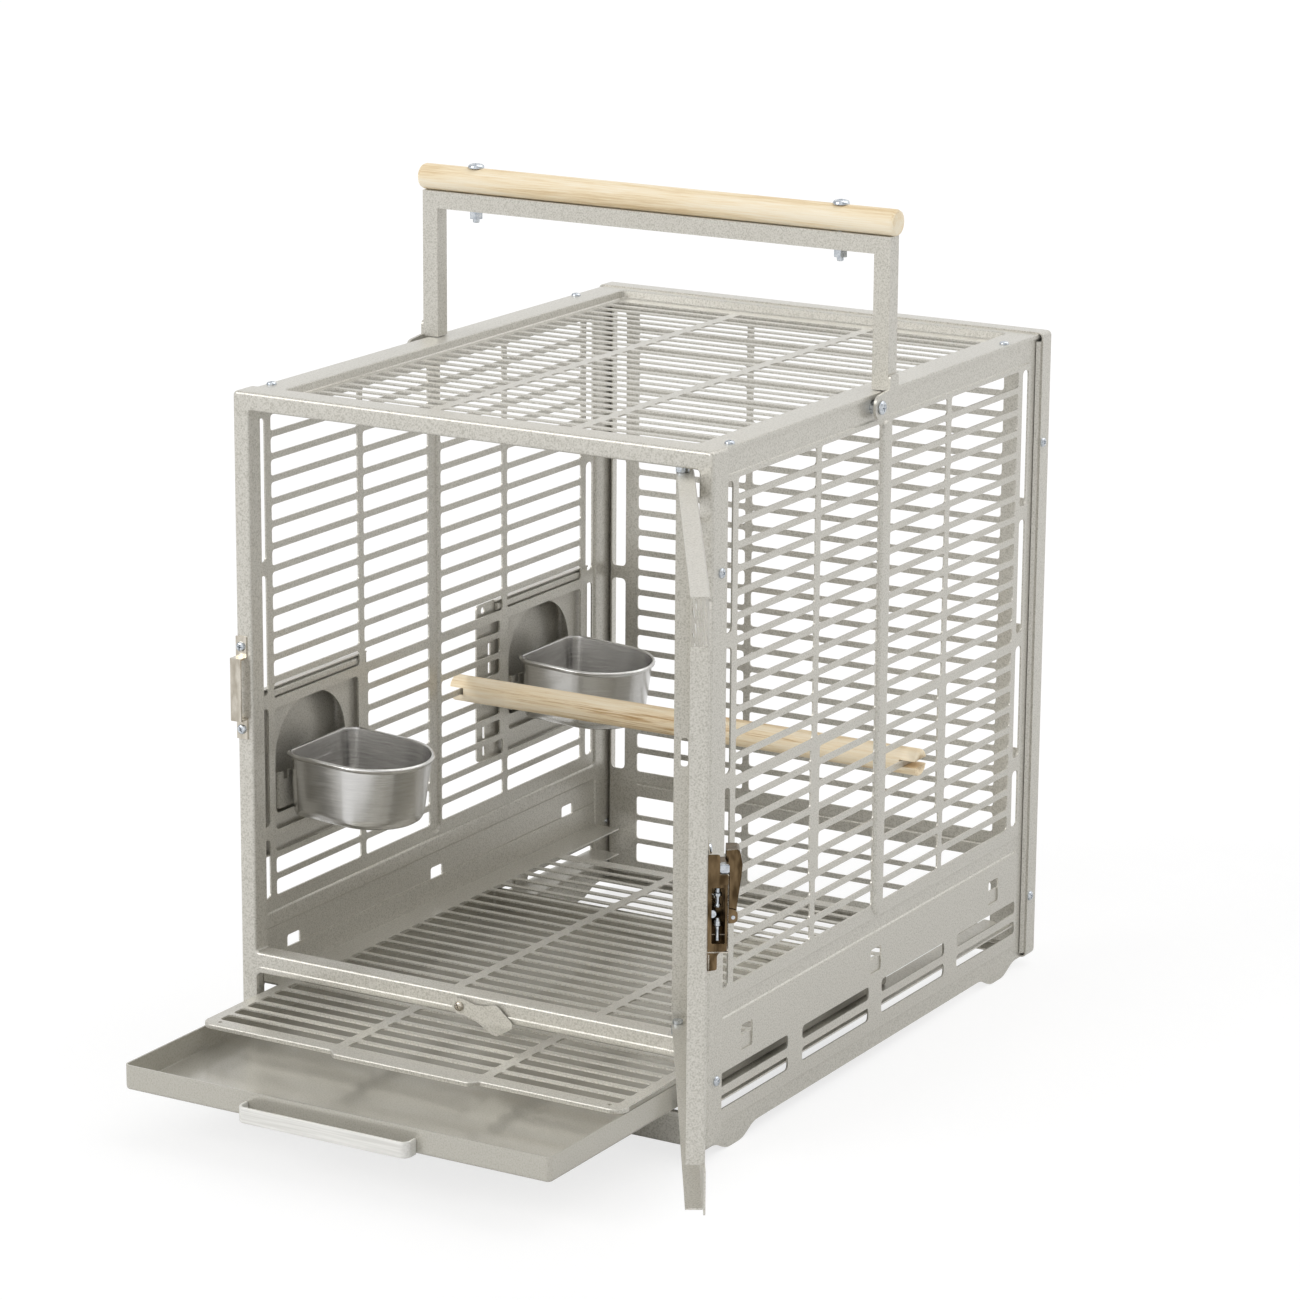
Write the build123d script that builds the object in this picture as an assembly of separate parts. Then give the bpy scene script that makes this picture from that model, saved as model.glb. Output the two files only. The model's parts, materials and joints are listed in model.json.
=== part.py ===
from build123d import *
import os

# Bird transport cage. Millimetres, +X to the right, +Y to the back, +Z up.
# The cage stands as it is used for cleaning: door open, grate and tray partly pulled out, carrying
# handle upright. It is drawn about the middle of its body, then moved so that the origin is on
# the floor under the middle of everything it takes up like this.

# Place of the final origin, measured from the middle of the body
origin_x = 78.0
origin_y = -147.0

# Body
body_depth = 513.0
body_half_width = 193.3
sheet = 1.2
edge_fold = 1.1
fit_gap = 0.3
front_y = -body_depth / 2
back_y = body_depth / 2
cut_over = 5.0

# Front frame
frame_bottom = 10.0
frame_top = 498.2
frame_flange = 20.0
opening_left = -180.0
opening_right = 182.0
opening_bottom = 88.3
opening_top = 484.8
opening_return = 14.0
corner_relief = 4.5
relief_inset = 1.5
slot_half_width = 179.6
slot_bottom = 34.5
slot_top = 73.0
slot_corner = 4.0
slot_lip = 5.0
slot_lip_height = 0.6
sill_half_width = 186.0

# Side panels
side_outer = 188.8
side_bottom = 8.0
side_top = frame_top - 2 * sheet
raise_height = 1.5
grille_mid = 251.5
field_half = 233.75
field_bottom = 107.0
field_top = 478.6
skirt_bottom = 20.0
skirt_top = 98.0
row_pitch = 16.35
slot_height = 11.75
row_count = 22
first_slot = 119.0
rib_half = 7.4
rib_raise = 2.0
rib_margin = 3.0
rib_gap_half = 8.25
inner_column = 87.25
thin_bar = 6.5
outer_column = 109.8
edge_bar = 7.2
narrow_slot = 10.0
narrow_bridge = 10.0
narrow_drop = 0.6
wide_bar_in = 4.0
wide_bar_out = 1.8
thick_bar_below = 2.4
thick_bar_above = 0.4
feeder_row_low = 3
feeder_row_high = 8
skirt_slot_gap = 10.0
skirt_slot_length = 100.5
skirt_slot_space = 21.0
skirt_slot_end = 98.0
skirt_slot_low = 31.8
skirt_slot_height = 10.0
skirt_slot_pitch = 16.2
hook_offset = 191.4
hook_width = 16.3
hook_bottom = 66.5
hook_height = 18.5
foot_offset = 204.5
foot_half = 27.5
foot_flat_half = 11.0
foot_round = 24.0
side_lip = 17.0
hem_depth = 16.0
hem_drop = 4.0

# Back panel
back_flange = 16.0
back_recess = 10.0
back_recess_half = 186.6
back_recess_bottom = 14.0
back_recess_top = 490.2
back_column_inner = 56.5
back_column_gap = 5.5
back_column_outer = 97.5
back_narrow_in = 170.7
back_narrow_out = 183.2
back_first_slot = 103.0
back_first_height = 15.5
back_low_slot = 27.0
back_low_height = 15.6
back_low_pitch = 19.7
back_low_count = 3
band_bead_height = 3.0
band_bead_raise = 0.8

# Top panel
top_recess = 6.2
top_recess_half = 168.0
top_recess_front = 24.0
top_recess_back = 490.0
top_fold = 3.0
top_side_gap = 0.1
top_slot_front = 46.0
top_row_pitch = 16.65
top_row_count = 26
top_column_inner = 53.5
top_column_bar = 8.0
top_column_outer = 99.5

# Runners for the grate and the tray
runner_front = 20.0
runner_back = 482.0
runner_top = 76.7
grate_shelf = 58.0
tray_shelf = 37.0
shelf_width = 25.0
runner_leg = 18.0

# Floor grate
grate_half_width = 172.0
grate_length = 476.0
grate_out = 80.5
grate_border = 8.0
grate_front_border = 12.0
grate_bar = 8.0
grate_bar_at = 59.5
grate_rows = 28
grate_tab_half = 55.0
grate_tab = 6.0
grate_tab_slope = 6.0
grate_corner = 9.0
grate_hole = 1.6
grate_hole_inset = 6.0

# Tray and its handle strip
tray_half_width = 172.5
tray_length = 476.0
tray_out = 170.0
tray_height = 18.0
tray_corner = 4.0
tray_grip_half = 70.0
tray_grip_reach = 12.0
tray_grip_strip = 2.0
tray_grip_height = 11.0
tray_grip_round = 9.0
tray_grip_drop = 1.0

# Door
hinge_x = 166.0
hinge_from_front = 6.5
door_angle = 121.5
door_width = 343.0
door_heel = 9.0
door_bottom = 94.3
door_top = 481.0
door_proud = 8.0
door_pan = 12.0
door_border = 14.0
door_bar = 6.5
door_columns = 3
door_rows = 22
door_slot_low = 16.0
door_tab_reach = 14.0
door_tab_height = 30.0
door_tab_round = 3.0
door_latch_pad = 42.0
hinge_screw_r = 2.0
running = 0.06
washer_r = 4.5
screw_head_r = 3.6
screw_head_height = 2.2
screw_shank_r = 1.7
screw_length = 7.0
edge_screw_inset = 12.0
edge_screw_low = 57.2
edge_screw_high = 414.3
top_screw_inset = 185.0
top_screw_front = 36.0
top_screw_rear = 65.0

# Door latch and keeper
latch_mid = 284.0
latch_half = 37.5
latch_foot = 10.5
latch_screw_inset = 7.2
latch_screw_head_r = 3.5
latch_length = 36.0
latch_setback = 2.0
latch_stand = 12.6
latch_sheet = 1.3
latch_window_half = 14.0
latch_window_margin = 3.2
bolt_r = 2.4
bolt_lift = 2.8
bolt_length = 52.0
lever_width = 14.0
lever_height = 43.0
lever_lean = 5.5
lever_sheet = 1.8
lever_drop = 5.0
lever_barrel_r = 2.4
lever_pin_r = 1.2
lever_pin_out = 3.2
ear_height = 11.0
ear_reach = 3.7
keeper_half_width = 4.5
keeper_x = -188.5
keeper_strap_half = 23.0
keeper_raise = 8.5

# Carrying handle
tube = 12.7
tube_wall = 1.2
handle_half_width = 194.0
handle_mid = 251.4
handle_lift = 0.5
handle_rise = 108.1
handle_top = frame_top + handle_rise
strap_sheet = 2.0
strap_rise = 10.4
strap_top = frame_top + strap_rise
strap_round = 8.5
strap_back_round = 3.0
strap_front_round = 7.6
pivot_from_front = 232.4
pivot_drop = 10.2
pivot_z = frame_top - pivot_drop
pivot_r = 2.5
pivot_head_r = 5.0
pivot_head = 2.4
pivot_head_round = 1.7
pivot_nut_r = 4.6
pivot_nut = 3.5
spacer_r = 5.0
grip_r = 9.5
grip_half_length = 197.6
grip_end_round = 3.0
grip_bolt_x = 151.3
grip_bolt_r = 2.5
grip_head_r = 6.0
grip_head = 3.2
grip_head_round = 2.6
grip_nut_r = 5.2
grip_nut = 5.6
bolt_end = 3.0

# Perch
perch_r = 10.0
perch_half_length = 200.0
perch_from_front = 297.0
perch_row = 5
perch_notch_gap = 0.3

# Swivel latch on the lower rail
swivel_x = -5.6
swivel_z = 79.6
swivel_tilt = 5.0
swivel_length = 44.0
swivel_boss = 6.0
swivel_waist = 3.6
swivel_blade = 7.2
swivel_sheet = 1.5
swivel_gap = 0.3
swivel_play = 0.1
swivel_round = 2.2
swivel_shares = (0.1, 0.36, 0.68, 0.88)

# Feeders on the left panel
feeder_shift = 11.0
feeder_half_length = 82.0
feeder_bottom = 149.9
feeder_top = 275.0
feeder_plane = 193.6
feeder_flange = 3.1
feeder_window_half = 42.0
feeder_window_low = 178.0
feeder_window_top = 255.6
feeder_arch = 41.2
feeder_corner = 4.0
feeder_hole_r = 2.6
feeder_hole_inset = 9.0
feeder_slot_width = 3.4
feeder_slot_height = 9.5
feeder_slot_insets = (18.0, 18.0, 10.0, 10.0)
feeder_slot_shares = (0.66, 0.545, 0.14, 0.03)
hood_half = 50.0
hood_bottom = 168.0
hood_top = 269.0
hood_depth = 13.0
hood_sheet = 1.0
hood_round = 6.0
hood_crown = 34.0
hood_barrel_r = 2.4
hood_pin_r = 1.2
hood_barrel_half = 30.0
hood_knuckle = 9.0
hood_hinge_gap = 3.2
bracket_half = 46.5
bracket_foot = 4.0
bracket_bottom = 182.0
bracket_top = 208.5
bracket_out = 191.2
bracket_notch = 6.0

# Cups
cup_flat_x = 189.0
cup_reach = 98.0
cup_half_width = 47.5
cup_rim_z = 224.0
cup_height = 49.0
cup_taper = 4.0
cup_wall = 0.8
cup_corner = 10.0
cup_floor_round = 8.0
cup_rim = 2.2
cup_rim_height = 3.0
cup_rim_chamfer = 0.55
cup_droop = 3.0
cup_hook_half = 16.0
cup_hook_drop = 9.0
cup_hook_below = 14.0
cup_hook_sheet = 1.0


# Basic shapes


def rect(a_low, b_low, a_high, b_high):
    """Corner points of a rectangle."""
    return [(a_low, b_low), (a_high, b_low), (a_high, b_high), (a_low, b_high)]


def ring_points(points, inset):
    """A rectangle's corner points moved in by the same amount all round."""
    (a_low, b_low), (a_high, b_high) = points[0], points[2]
    return rect(a_low + inset, b_low + inset, a_high - inset, b_high - inset)


def loop(points, radius=0.0):
    """Closed wire through points, with rounded corners where a radius is given."""
    if isinstance(points, Wire):
        return points
    if radius == 0.0:
        return Wire.make_polygon([Vector(a, b, 0) for a, b in points], close=True)
    return Wire(FilletPolyline(*points, radius=radius, close=True).edges())


def disc(a, b, radius):
    """Round hole's wire at a point of the drawing plane."""
    return Wire.make_circle(radius, Plane((a, b, 0)))


def plate(plane, points, thick, holes, radius):
    """Flat sheet: an outline with holes, thickened along the plane's normal."""
    face = Face(loop(points, radius), [loop(hole) for hole in holes])
    return extrude(plane * face, thick, dir=plane.z_dir)


def slab_x(points, x_low, x_high, holes=(), radius=0.0):
    """Sheet standing across X, drawn in Y and Z."""
    plane = Plane(origin=(x_low, 0, 0), x_dir=(0, 1, 0), z_dir=(1, 0, 0))
    return plate(plane, points, x_high - x_low, holes, radius)


def slab_y(points, y_low, y_high, holes=(), radius=0.0):
    """Sheet standing across Y, drawn in X and Z."""
    plane = Plane(origin=(0, y_high, 0), x_dir=(1, 0, 0), z_dir=(0, -1, 0))
    return plate(plane, points, y_high - y_low, holes, radius)


def slab_z(points, z_low, z_high, holes=(), radius=0.0):
    """Level sheet, drawn in X and Y."""
    plane = Plane(origin=(0, 0, z_low))
    return plate(plane, points, z_high - z_low, holes, radius)


def rod(start, direction, length, radius):
    """Round bar from a start point along a direction."""
    return Solid.make_cylinder(radius, length, Plane(origin=start, z_dir=direction))


def screw(seat, inward, length=screw_length, head_r=screw_head_r, shank_r=screw_shank_r):
    """Domed screw: its head stands on the seat and its shank goes inward."""
    out = Vector(*inward) * -1
    shank = rod(seat, inward, length, shank_r)
    head = rod(seat, out, screw_head_height, head_r)
    head = chamfer(head.edges().group_by(SortBy.LENGTH)[-1].filter_by(
        lambda e: (e.center() - Vector(*seat)).dot(out) > screw_head_height / 2),
        screw_head_height / 2)
    return shank + head


def stamped(slab, outline, low, high, holes=(), radius=0.0):
    """A field pushed out of a sheet: its raised face and the wall round it."""
    face = slab(outline, high - sheet, high, holes, radius)
    inner = loop(ring_points(outline, sheet), max(radius - sheet, 0.0))
    wall = slab(outline, low, high, [inner], radius)
    return face + wall


def group(solids):
    """Separate solids kept in one node."""
    return Compound(children=list(solids))


# Grille layout


def side_rows():
    """Lower and upper ends of the side grille's slots, with the one thick bar."""
    rows = []
    for row in range(row_count):
        low = first_slot + row * row_pitch
        high = low + slot_height
        if row == feeder_row_high:
            high -= thick_bar_below
        if row == feeder_row_high + 1:
            low += thick_bar_above
        rows.append((low, high))
    return rows


def side_grille_holes(with_feeders):
    """All slots of a side panel's raised grille field."""
    mid = front_y + grille_mid
    rows = side_rows()
    holes = []
    inner_end = rib_gap_half + inner_column
    outer_start = inner_end + thin_bar
    outer_end = outer_start + outer_column
    for side in (-1, 1):
        for row, (low, high) in enumerate(rows):
            wide = feeder_row_low <= row <= feeder_row_high
            near = inner_end - (wide_bar_in if wide else 0)
            far = outer_start + (wide_bar_out if wide else 0)
            holes.append(rect(*span(mid, side, rib_gap_half, near, low, high)))
            if not (with_feeders and wide):
                holes.append(rect(*span(mid, side, far, outer_end, low, high)))
        if with_feeders:
            low, high = rows[feeder_row_low][0], rows[feeder_row_high][1]
            holes.append(rect(*span(mid, side, outer_start + wide_bar_out, outer_end, low, high)))
        near = outer_end + edge_bar
        for low, high in narrow_rows(first_slot, rows[-1][1]):
            holes.append(rect(*span(mid, side, near, near + narrow_slot, low, high)))
    return holes


def span(mid, side, near, far, low, high):
    """Rectangle limits at a distance either side of a middle line."""
    if side > 0:
        return mid + near, low, mid + far, high
    return mid - far, low, mid - near, high


def narrow_rows(low, high):
    """The four tall narrow slots at a panel's edge, split at the grille's cross bars."""
    third_bar = first_slot + feeder_row_low * row_pitch
    ninth_bar = first_slot + (feeder_row_high + 1) * row_pitch
    upper_bar = first_slot + (row_count - feeder_row_high + 1) * row_pitch
    ends = [low]
    for bar in (third_bar, ninth_bar, upper_bar):
        ends += [bar - narrow_bridge / 2, bar + narrow_bridge / 2]
    ends.append(high - narrow_drop)
    return list(zip(ends[0::2], ends[1::2]))


# Cage body


def front_frame():
    """Pressed frame: face with door opening and tray slot, folded edges and returns."""
    opening = rect(opening_left, opening_bottom, opening_right, opening_top)
    tray_slot = rect(-slot_half_width, slot_bottom, slot_half_width, slot_top)
    slot_wire = loop(tray_slot, slot_corner)
    outline = rect(-body_half_width, frame_bottom, body_half_width, frame_top)
    frame = slab_y(outline, front_y, front_y + sheet, [opening, slot_wire])
    edge = rect(front_y, frame_bottom, front_y + frame_flange, frame_top)
    frame += slab_x(edge, -body_half_width, sheet - body_half_width)
    frame += slab_x(edge, body_half_width - sheet, body_half_width)
    top = rect(-body_half_width, front_y, body_half_width, front_y + frame_flange)
    frame += slab_z(top, frame_top - sheet, frame_top)
    sill = rect(-sill_half_width, front_y, sill_half_width, front_y + opening_return)
    frame += slab_z(sill, frame_bottom, frame_bottom + sheet)
    frame += slab_y(ring_points(opening, -sheet), front_y, front_y + opening_return, [opening])
    lip = loop(ring_points(tray_slot, -slot_lip), slot_corner + slot_lip)
    frame += slab_y(lip, front_y - slot_lip_height, front_y + sheet, [slot_wire])
    for x in (opening_left + relief_inset, opening_right - relief_inset):
        for z in (opening_bottom + relief_inset, opening_top - relief_inset):
            frame -= rod((x, front_y - cut_over, z), (0, 1, 0), cut_over + opening_return + sheet,
                         corner_relief)
    for z in (opening_bottom - sheet - cut_over, opening_top - cut_over):
        frame -= rod((hinge_x, front_y + hinge_from_front, z), (0, 0, 1), 2 * cut_over + sheet,
                     hinge_screw_r + running)
    frame -= rod((swivel_x, front_y - cut_over, swivel_z), (0, 1, 0), 2 * cut_over,
                 screw_shank_r + running)
    for seat, _ in edge_screw_seats(front_y + edge_screw_inset):
        frame -= side_hole(seat)
    for z in keeper_screw_heights():
        frame -= rod((keeper_x, front_y - cut_over, z), (0, 1, 0), 2 * cut_over,
                     screw_shank_r + running)
    return fillet(outer_folds(frame, front_y), edge_fold)


def outer_folds(solid, y):
    """Upright edges where a frame's face meets its side flanges."""
    upright = solid.edges().filter_by(Axis.Z)
    return upright.filter_by(lambda e: abs(e.center().Y - y) < fit_gap
                             and abs(abs(e.center().X) - body_half_width) < fit_gap)


def side_hole(seat):
    """Clearance hole for a screw that enters the body from the side."""
    x, y, z = seat
    toward = -1 if x > 0 else 1
    return rod((x - toward * cut_over, y, z), (toward, 0, 0), cut_over + screw_length + cut_over,
               screw_shank_r + running)


def edge_screw_seats(y):
    """Seats and directions of the screws through a frame's side edges at one depth."""
    seats = []
    for x, inward in ((-body_half_width, (1, 0, 0)), (body_half_width, (-1, 0, 0))):
        for z in (edge_screw_low, edge_screw_high):
            seats.append(((x, y, z), inward))
    return seats


def side_panel(side):
    """Right panel for side 1, left panel with the feeder openings for side -1."""
    mid = front_y + grille_mid
    low_y, high_y = front_y + sheet, back_y - sheet
    inner = side_outer - sheet
    base = [(low_y, side_top), (low_y, side_bottom)]
    rounds = [0.0, 0.0]
    for foot in (-1, 1):
        centre = mid + foot * foot_offset
        base += [(centre - foot_half, side_bottom), (centre - foot_flat_half, 0.0),
                 (centre + foot_flat_half, 0.0), (centre + foot_half, side_bottom)]
        rounds += [foot_round] * 4
    base += [(high_y, side_bottom), (high_y, side_top)]
    rounds += [0.0, 0.0]
    grille = rect(mid - field_half, field_bottom, mid + field_half, field_top)
    skirt = rect(mid - field_half, skirt_bottom, mid + field_half, skirt_top)
    inset = [ring_points(grille, sheet), ring_points(skirt, sheet)]
    panel = slab_x(base, inner, side_outer, inset, rounds)
    outer = side_outer + raise_height

    rib = rect(mid - rib_half, field_bottom + rib_margin, mid + rib_half, field_top - rib_margin)
    rib_hole = loop(ring_points(rib, sheet), rib_half - 2 * sheet)
    grille_holes = side_grille_holes(side < 0) + [rib_hole]
    panel += stamped(slab_x, grille, inner, outer, grille_holes)
    rib_round = rib_half - sheet
    rib_body = stamped(slab_x, rib, outer - sheet, outer + rib_raise, (), rib_round)
    panel += rib_body

    skirt_holes = []
    for way in (-1, 1):
        near = skirt_slot_gap
        for length in (skirt_slot_length, skirt_slot_end):
            for level in range(2):
                low = skirt_slot_low + level * skirt_slot_pitch
                skirt_holes.append(rect(*span(mid, way, near, near + length, low,
                                              low + skirt_slot_height)))
            near += length + skirt_slot_space
    for offset in (-hook_offset, 0.0, hook_offset):
        middle = mid + offset
        skirt_holes.append(rect(middle - hook_width / 2, hook_bottom, middle + hook_width / 2,
                                hook_bottom + hook_height))
    panel += stamped(slab_x, skirt, inner, outer, skirt_holes)

    lip = rect(inner - side_lip, low_y + opening_return, side_outer, high_y - opening_return)
    panel += slab_z(lip, side_top - sheet, side_top)
    hem_outer = body_half_width - sheet
    hem_low, hem_high = side_bottom + hem_drop, side_top - hem_drop
    for end, y in ((1, low_y), (-1, high_y)):
        y_far = y + end * hem_depth
        strip = rect(min(y, y_far), hem_low, max(y, y_far), hem_high)
        panel += slab_x(strip, hem_outer - sheet, hem_outer)
        y_wall = y + end * sheet
        wall = rect(inner, min(y, y_wall), hem_outer, max(y, y_wall))
        panel += slab_z(wall, hem_low, hem_high)
    if side < 0:
        panel = mirror(panel, Plane.YZ)
    for y in (front_y + edge_screw_inset, back_y - edge_screw_inset):
        for seat, _ in edge_screw_seats(y):
            if seat[0] * side > 0:
                panel -= side_hole(seat)
    for x, y in top_screw_places():
        if x * side > 0:
            panel -= rod((x, y, side_top - cut_over), (0, 0, 1), 2 * cut_over,
                         screw_shank_r + running)
    pivot = (side * (inner - cut_over), front_y + pivot_from_front, pivot_z)
    panel -= rod(pivot, (side, 0, 0), 2 * cut_over + sheet, pivot_r + running)
    return panel


def back_slots():
    """Slots of the back panel: three columns, the edge slots and the low rows."""
    rows = [(back_first_slot, back_first_slot + back_first_height)]
    first = back_first_slot + back_first_height + row_pitch - slot_height
    rows += [(first + n * row_pitch, first + n * row_pitch + slot_height) for n in range(row_count)]
    rows += [(back_low_slot + n * back_low_pitch, back_low_slot + n * back_low_pitch
              + back_low_height) for n in range(back_low_count)]
    near = back_column_inner + back_column_gap
    far = near + back_column_outer
    holes = []
    for low, high in rows:
        holes.append(rect(-back_column_inner, low, back_column_inner, high))
        holes.append(rect(near, low, far, high))
        holes.append(rect(-far, low, -near, high))
    for low, high in narrow_rows(back_first_slot, rows[row_count][1]):
        holes.append(rect(back_narrow_in, low, back_narrow_out, high))
        holes.append(rect(-back_narrow_out, low, -back_narrow_in, high))
    return holes


def back_panel():
    """Recessed grille pan with edges folded forward round the side panels."""
    recess = rect(-back_recess_half, back_recess_bottom, back_recess_half, back_recess_top)
    inside = ring_points(recess, sheet)
    outline = rect(-body_half_width, side_bottom, body_half_width, frame_top)
    panel = slab_y(outline, back_y - sheet, back_y, [inside])
    field = back_y - back_recess
    panel += slab_y(recess, field - sheet, back_y, [inside])
    panel += slab_y(recess, field - sheet, field, back_slots())
    edge = rect(back_y - back_flange, side_bottom, back_y, frame_top)
    panel += slab_x(edge, -body_half_width, sheet - body_half_width)
    panel += slab_x(edge, body_half_width - sheet, body_half_width)
    top = rect(-body_half_width, back_y - back_flange, body_half_width, back_y)
    panel += slab_z(top, frame_top - sheet, frame_top)
    sill = rect(-sill_half_width, back_y - back_flange, sill_half_width, back_y)
    panel += slab_z(sill, side_bottom, side_bottom + sheet)
    band_low = back_low_slot + (back_low_count - 1) * back_low_pitch + back_low_height
    bead_mid = (band_low + back_first_slot) / 2
    bead_half = back_column_inner + back_column_gap + back_column_outer
    bead = rect(-bead_half, bead_mid - band_bead_height / 2, bead_half,
                bead_mid + band_bead_height / 2)
    panel += slab_y(bead, field, field + band_bead_raise)
    for seat, _ in edge_screw_seats(back_y - edge_screw_inset):
        panel -= side_hole(seat)
    return fillet(outer_folds(panel, back_y), edge_fold)


def top_screw_places():
    """Plan positions of the screws that hold the top panel down."""
    depths = (front_y + top_screw_front, back_y - top_screw_rear)
    return [(x, y) for x in (-top_screw_inset, top_screw_inset) for y in depths]


def top_panel():
    """Recessed grille pan that lies on the side panels' lips."""
    z_high = frame_top - sheet
    z_field = z_high - top_recess
    recess = rect(-top_recess_half, front_y + top_recess_front, top_recess_half,
                  front_y + top_recess_back)
    inside = ring_points(recess, sheet)
    half = side_outer + sheet + top_side_gap
    outline = rect(-half, front_y + sheet, half, back_y - sheet)
    screw_holes = [disc(x, y, screw_shank_r + running) for x, y in top_screw_places()]
    panel = slab_z(outline, z_high - sheet, z_high, [inside] + screw_holes)
    panel += slab_z(recess, z_field - sheet, z_high, [inside])
    holes = []
    near = top_column_inner + top_column_bar
    far = near + top_column_outer
    for row in range(top_row_count):
        low = front_y + top_slot_front + row * top_row_pitch
        high = low + slot_height
        holes.append(rect(-top_column_inner, low, top_column_inner, high))
        holes.append(rect(near, low, far, high))
        holes.append(rect(-far, low, -near, high))
    panel += slab_z(recess, z_field - sheet, z_field, holes)
    fold = rect(front_y + 2 * sheet, z_high - top_fold, back_y - 2 * sheet, z_high)
    panel += slab_x(fold, half - sheet, half)
    panel += slab_x(fold, -half, sheet - half)
    return panel


def runner(side):
    """Rail inside a side panel's skirt: upper shelf for the grate, lower for the tray."""
    outer = side_outer + raise_height - sheet
    web = rect(front_y + runner_front, grate_shelf, front_y + runner_back, runner_top)
    rail = slab_x(web, outer - sheet, outer)
    for level in (grate_shelf, tray_shelf):
        shelf = rect(outer - shelf_width, front_y + runner_front, outer, front_y + runner_back)
        rail += slab_z(shelf, level, level + sheet)
    mid = front_y + grille_mid
    step = skirt_slot_gap + skirt_slot_length + skirt_slot_space / 2
    for offset in (-step, 0.0, step):
        leg = rect(mid + offset - runner_leg / 2, tray_shelf, mid + offset + runner_leg / 2,
                   grate_shelf + sheet)
        rail += slab_x(leg, outer - sheet, outer)
    return rail if side > 0 else mirror(rail, Plane.YZ)


# Grate, tray and the swivel latch in front of them


def floor_grate():
    """Slotted floor sheet, pulled out at rest, with a wider tab at its front edge."""
    front = front_y - grate_out
    z_low = grate_shelf + sheet + fit_gap
    half = grate_half_width
    outline = [(-half, front), (-grate_tab_half - grate_tab_slope, front),
               (-grate_tab_half, front - grate_tab), (grate_tab_half, front - grate_tab),
               (grate_tab_half + grate_tab_slope, front), (half, front),
               (half, front + grate_length), (-half, front + grate_length)]
    rounds = [grate_corner, 0.0, 0.0, 0.0, 0.0, grate_corner, 0.0, 0.0]
    holes = []
    bar_in, bar_out = grate_bar_at - grate_bar / 2, grate_bar_at + grate_bar / 2
    edge = half - grate_border
    for row in range(grate_rows):
        low = front + grate_front_border + row * row_pitch
        high = low + slot_height
        holes.append(rect(-bar_in, low, bar_in, high))
        holes.append(rect(bar_out, low, edge, high))
        holes.append(rect(-edge, low, -bar_out, high))
    for x in (grate_hole_inset * 2 - half, half - grate_hole_inset * 2):
        holes.append(disc(x, front + grate_hole_inset, grate_hole))
    return slab_z(outline, z_low, z_low + sheet, holes, rounds)


def tray():
    """Shallow open pan, pulled out at rest."""
    z_low = tray_shelf + sheet + fit_gap
    front = front_y - tray_out
    outline = rect(-tray_half_width, front, tray_half_width, front + tray_length)
    inside = loop(ring_points(outline, sheet), tray_corner - sheet)
    pan = slab_z(outline, z_low, z_low + tray_height, [inside], tray_corner)
    return pan + slab_z(outline, z_low, z_low + sheet, (), tray_corner)


def tray_handle():
    """Strip bent to a flat U that stands off the tray's front wall."""
    wall = front_y - tray_out
    face, half, strip = wall - tray_grip_reach, tray_grip_half, tray_grip_strip
    path = [(-half, wall), (-half, face), (half, face), (half, wall), (half - strip, wall),
            (half - strip, face + strip), (strip - half, face + strip), (strip - half, wall)]
    tight = tray_grip_round - strip
    rounds = [0.0, tray_grip_round, tray_grip_round, 0.0, 0.0, tight, tight, 0.0]
    z_low = tray_shelf + sheet + fit_gap - tray_grip_drop
    return slab_z(path, z_low, z_low + tray_grip_height, (), rounds)


def swivel_latch():
    """Waisted paddle that turns on its screw and hangs over grate and tray."""
    boss, waist, blade, length = swivel_boss, swivel_waist, swivel_blade, swivel_length
    neck, shoulder, hip, tip = [length * share for share in swivel_shares]
    half = [(-boss, boss), (neck, boss), (shoulder, waist), (hip, blade), (tip, blade),
            (length, waist)]
    points = half + [(x, -z) for x, z in reversed(half)]
    face = Face(loop(points, swivel_round), [disc(0, 0, screw_shank_r + running)])
    high = front_y - slot_lip_height - swivel_gap
    plane = Plane(origin=(swivel_x, high, swivel_z), x_dir=(1, 0, 0), z_dir=(0, -1, 0))
    blade_solid = extrude(plane * (Rot(0, 0, -swivel_tilt) * face), swivel_sheet, dir=(0, -1, 0))
    return blade_solid


def swivel_screw():
    """Screw and spacer ring that carry the swivel latch."""
    high = front_y - slot_lip_height - swivel_gap
    seat = (swivel_x, high - swivel_sheet - swivel_play, swivel_z)
    return screw(seat, (0, 1, 0), screw_length)


# Door, drawn closed about its hinge line and then turned open


def door_x(along):
    """X of a point on the closed door, measured from the hinge line."""
    return hinge_x - along


def door_y(out):
    """Y of a point on the closed door, measured outward from the hinge line."""
    return front_y + hinge_from_front - out


def opened(solid):
    """Turns a piece of the closed door to the open position."""
    axis = Axis((hinge_x, front_y + hinge_from_front, 0), (0, 0, 1))
    return solid.rotate(axis, door_angle)


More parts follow.
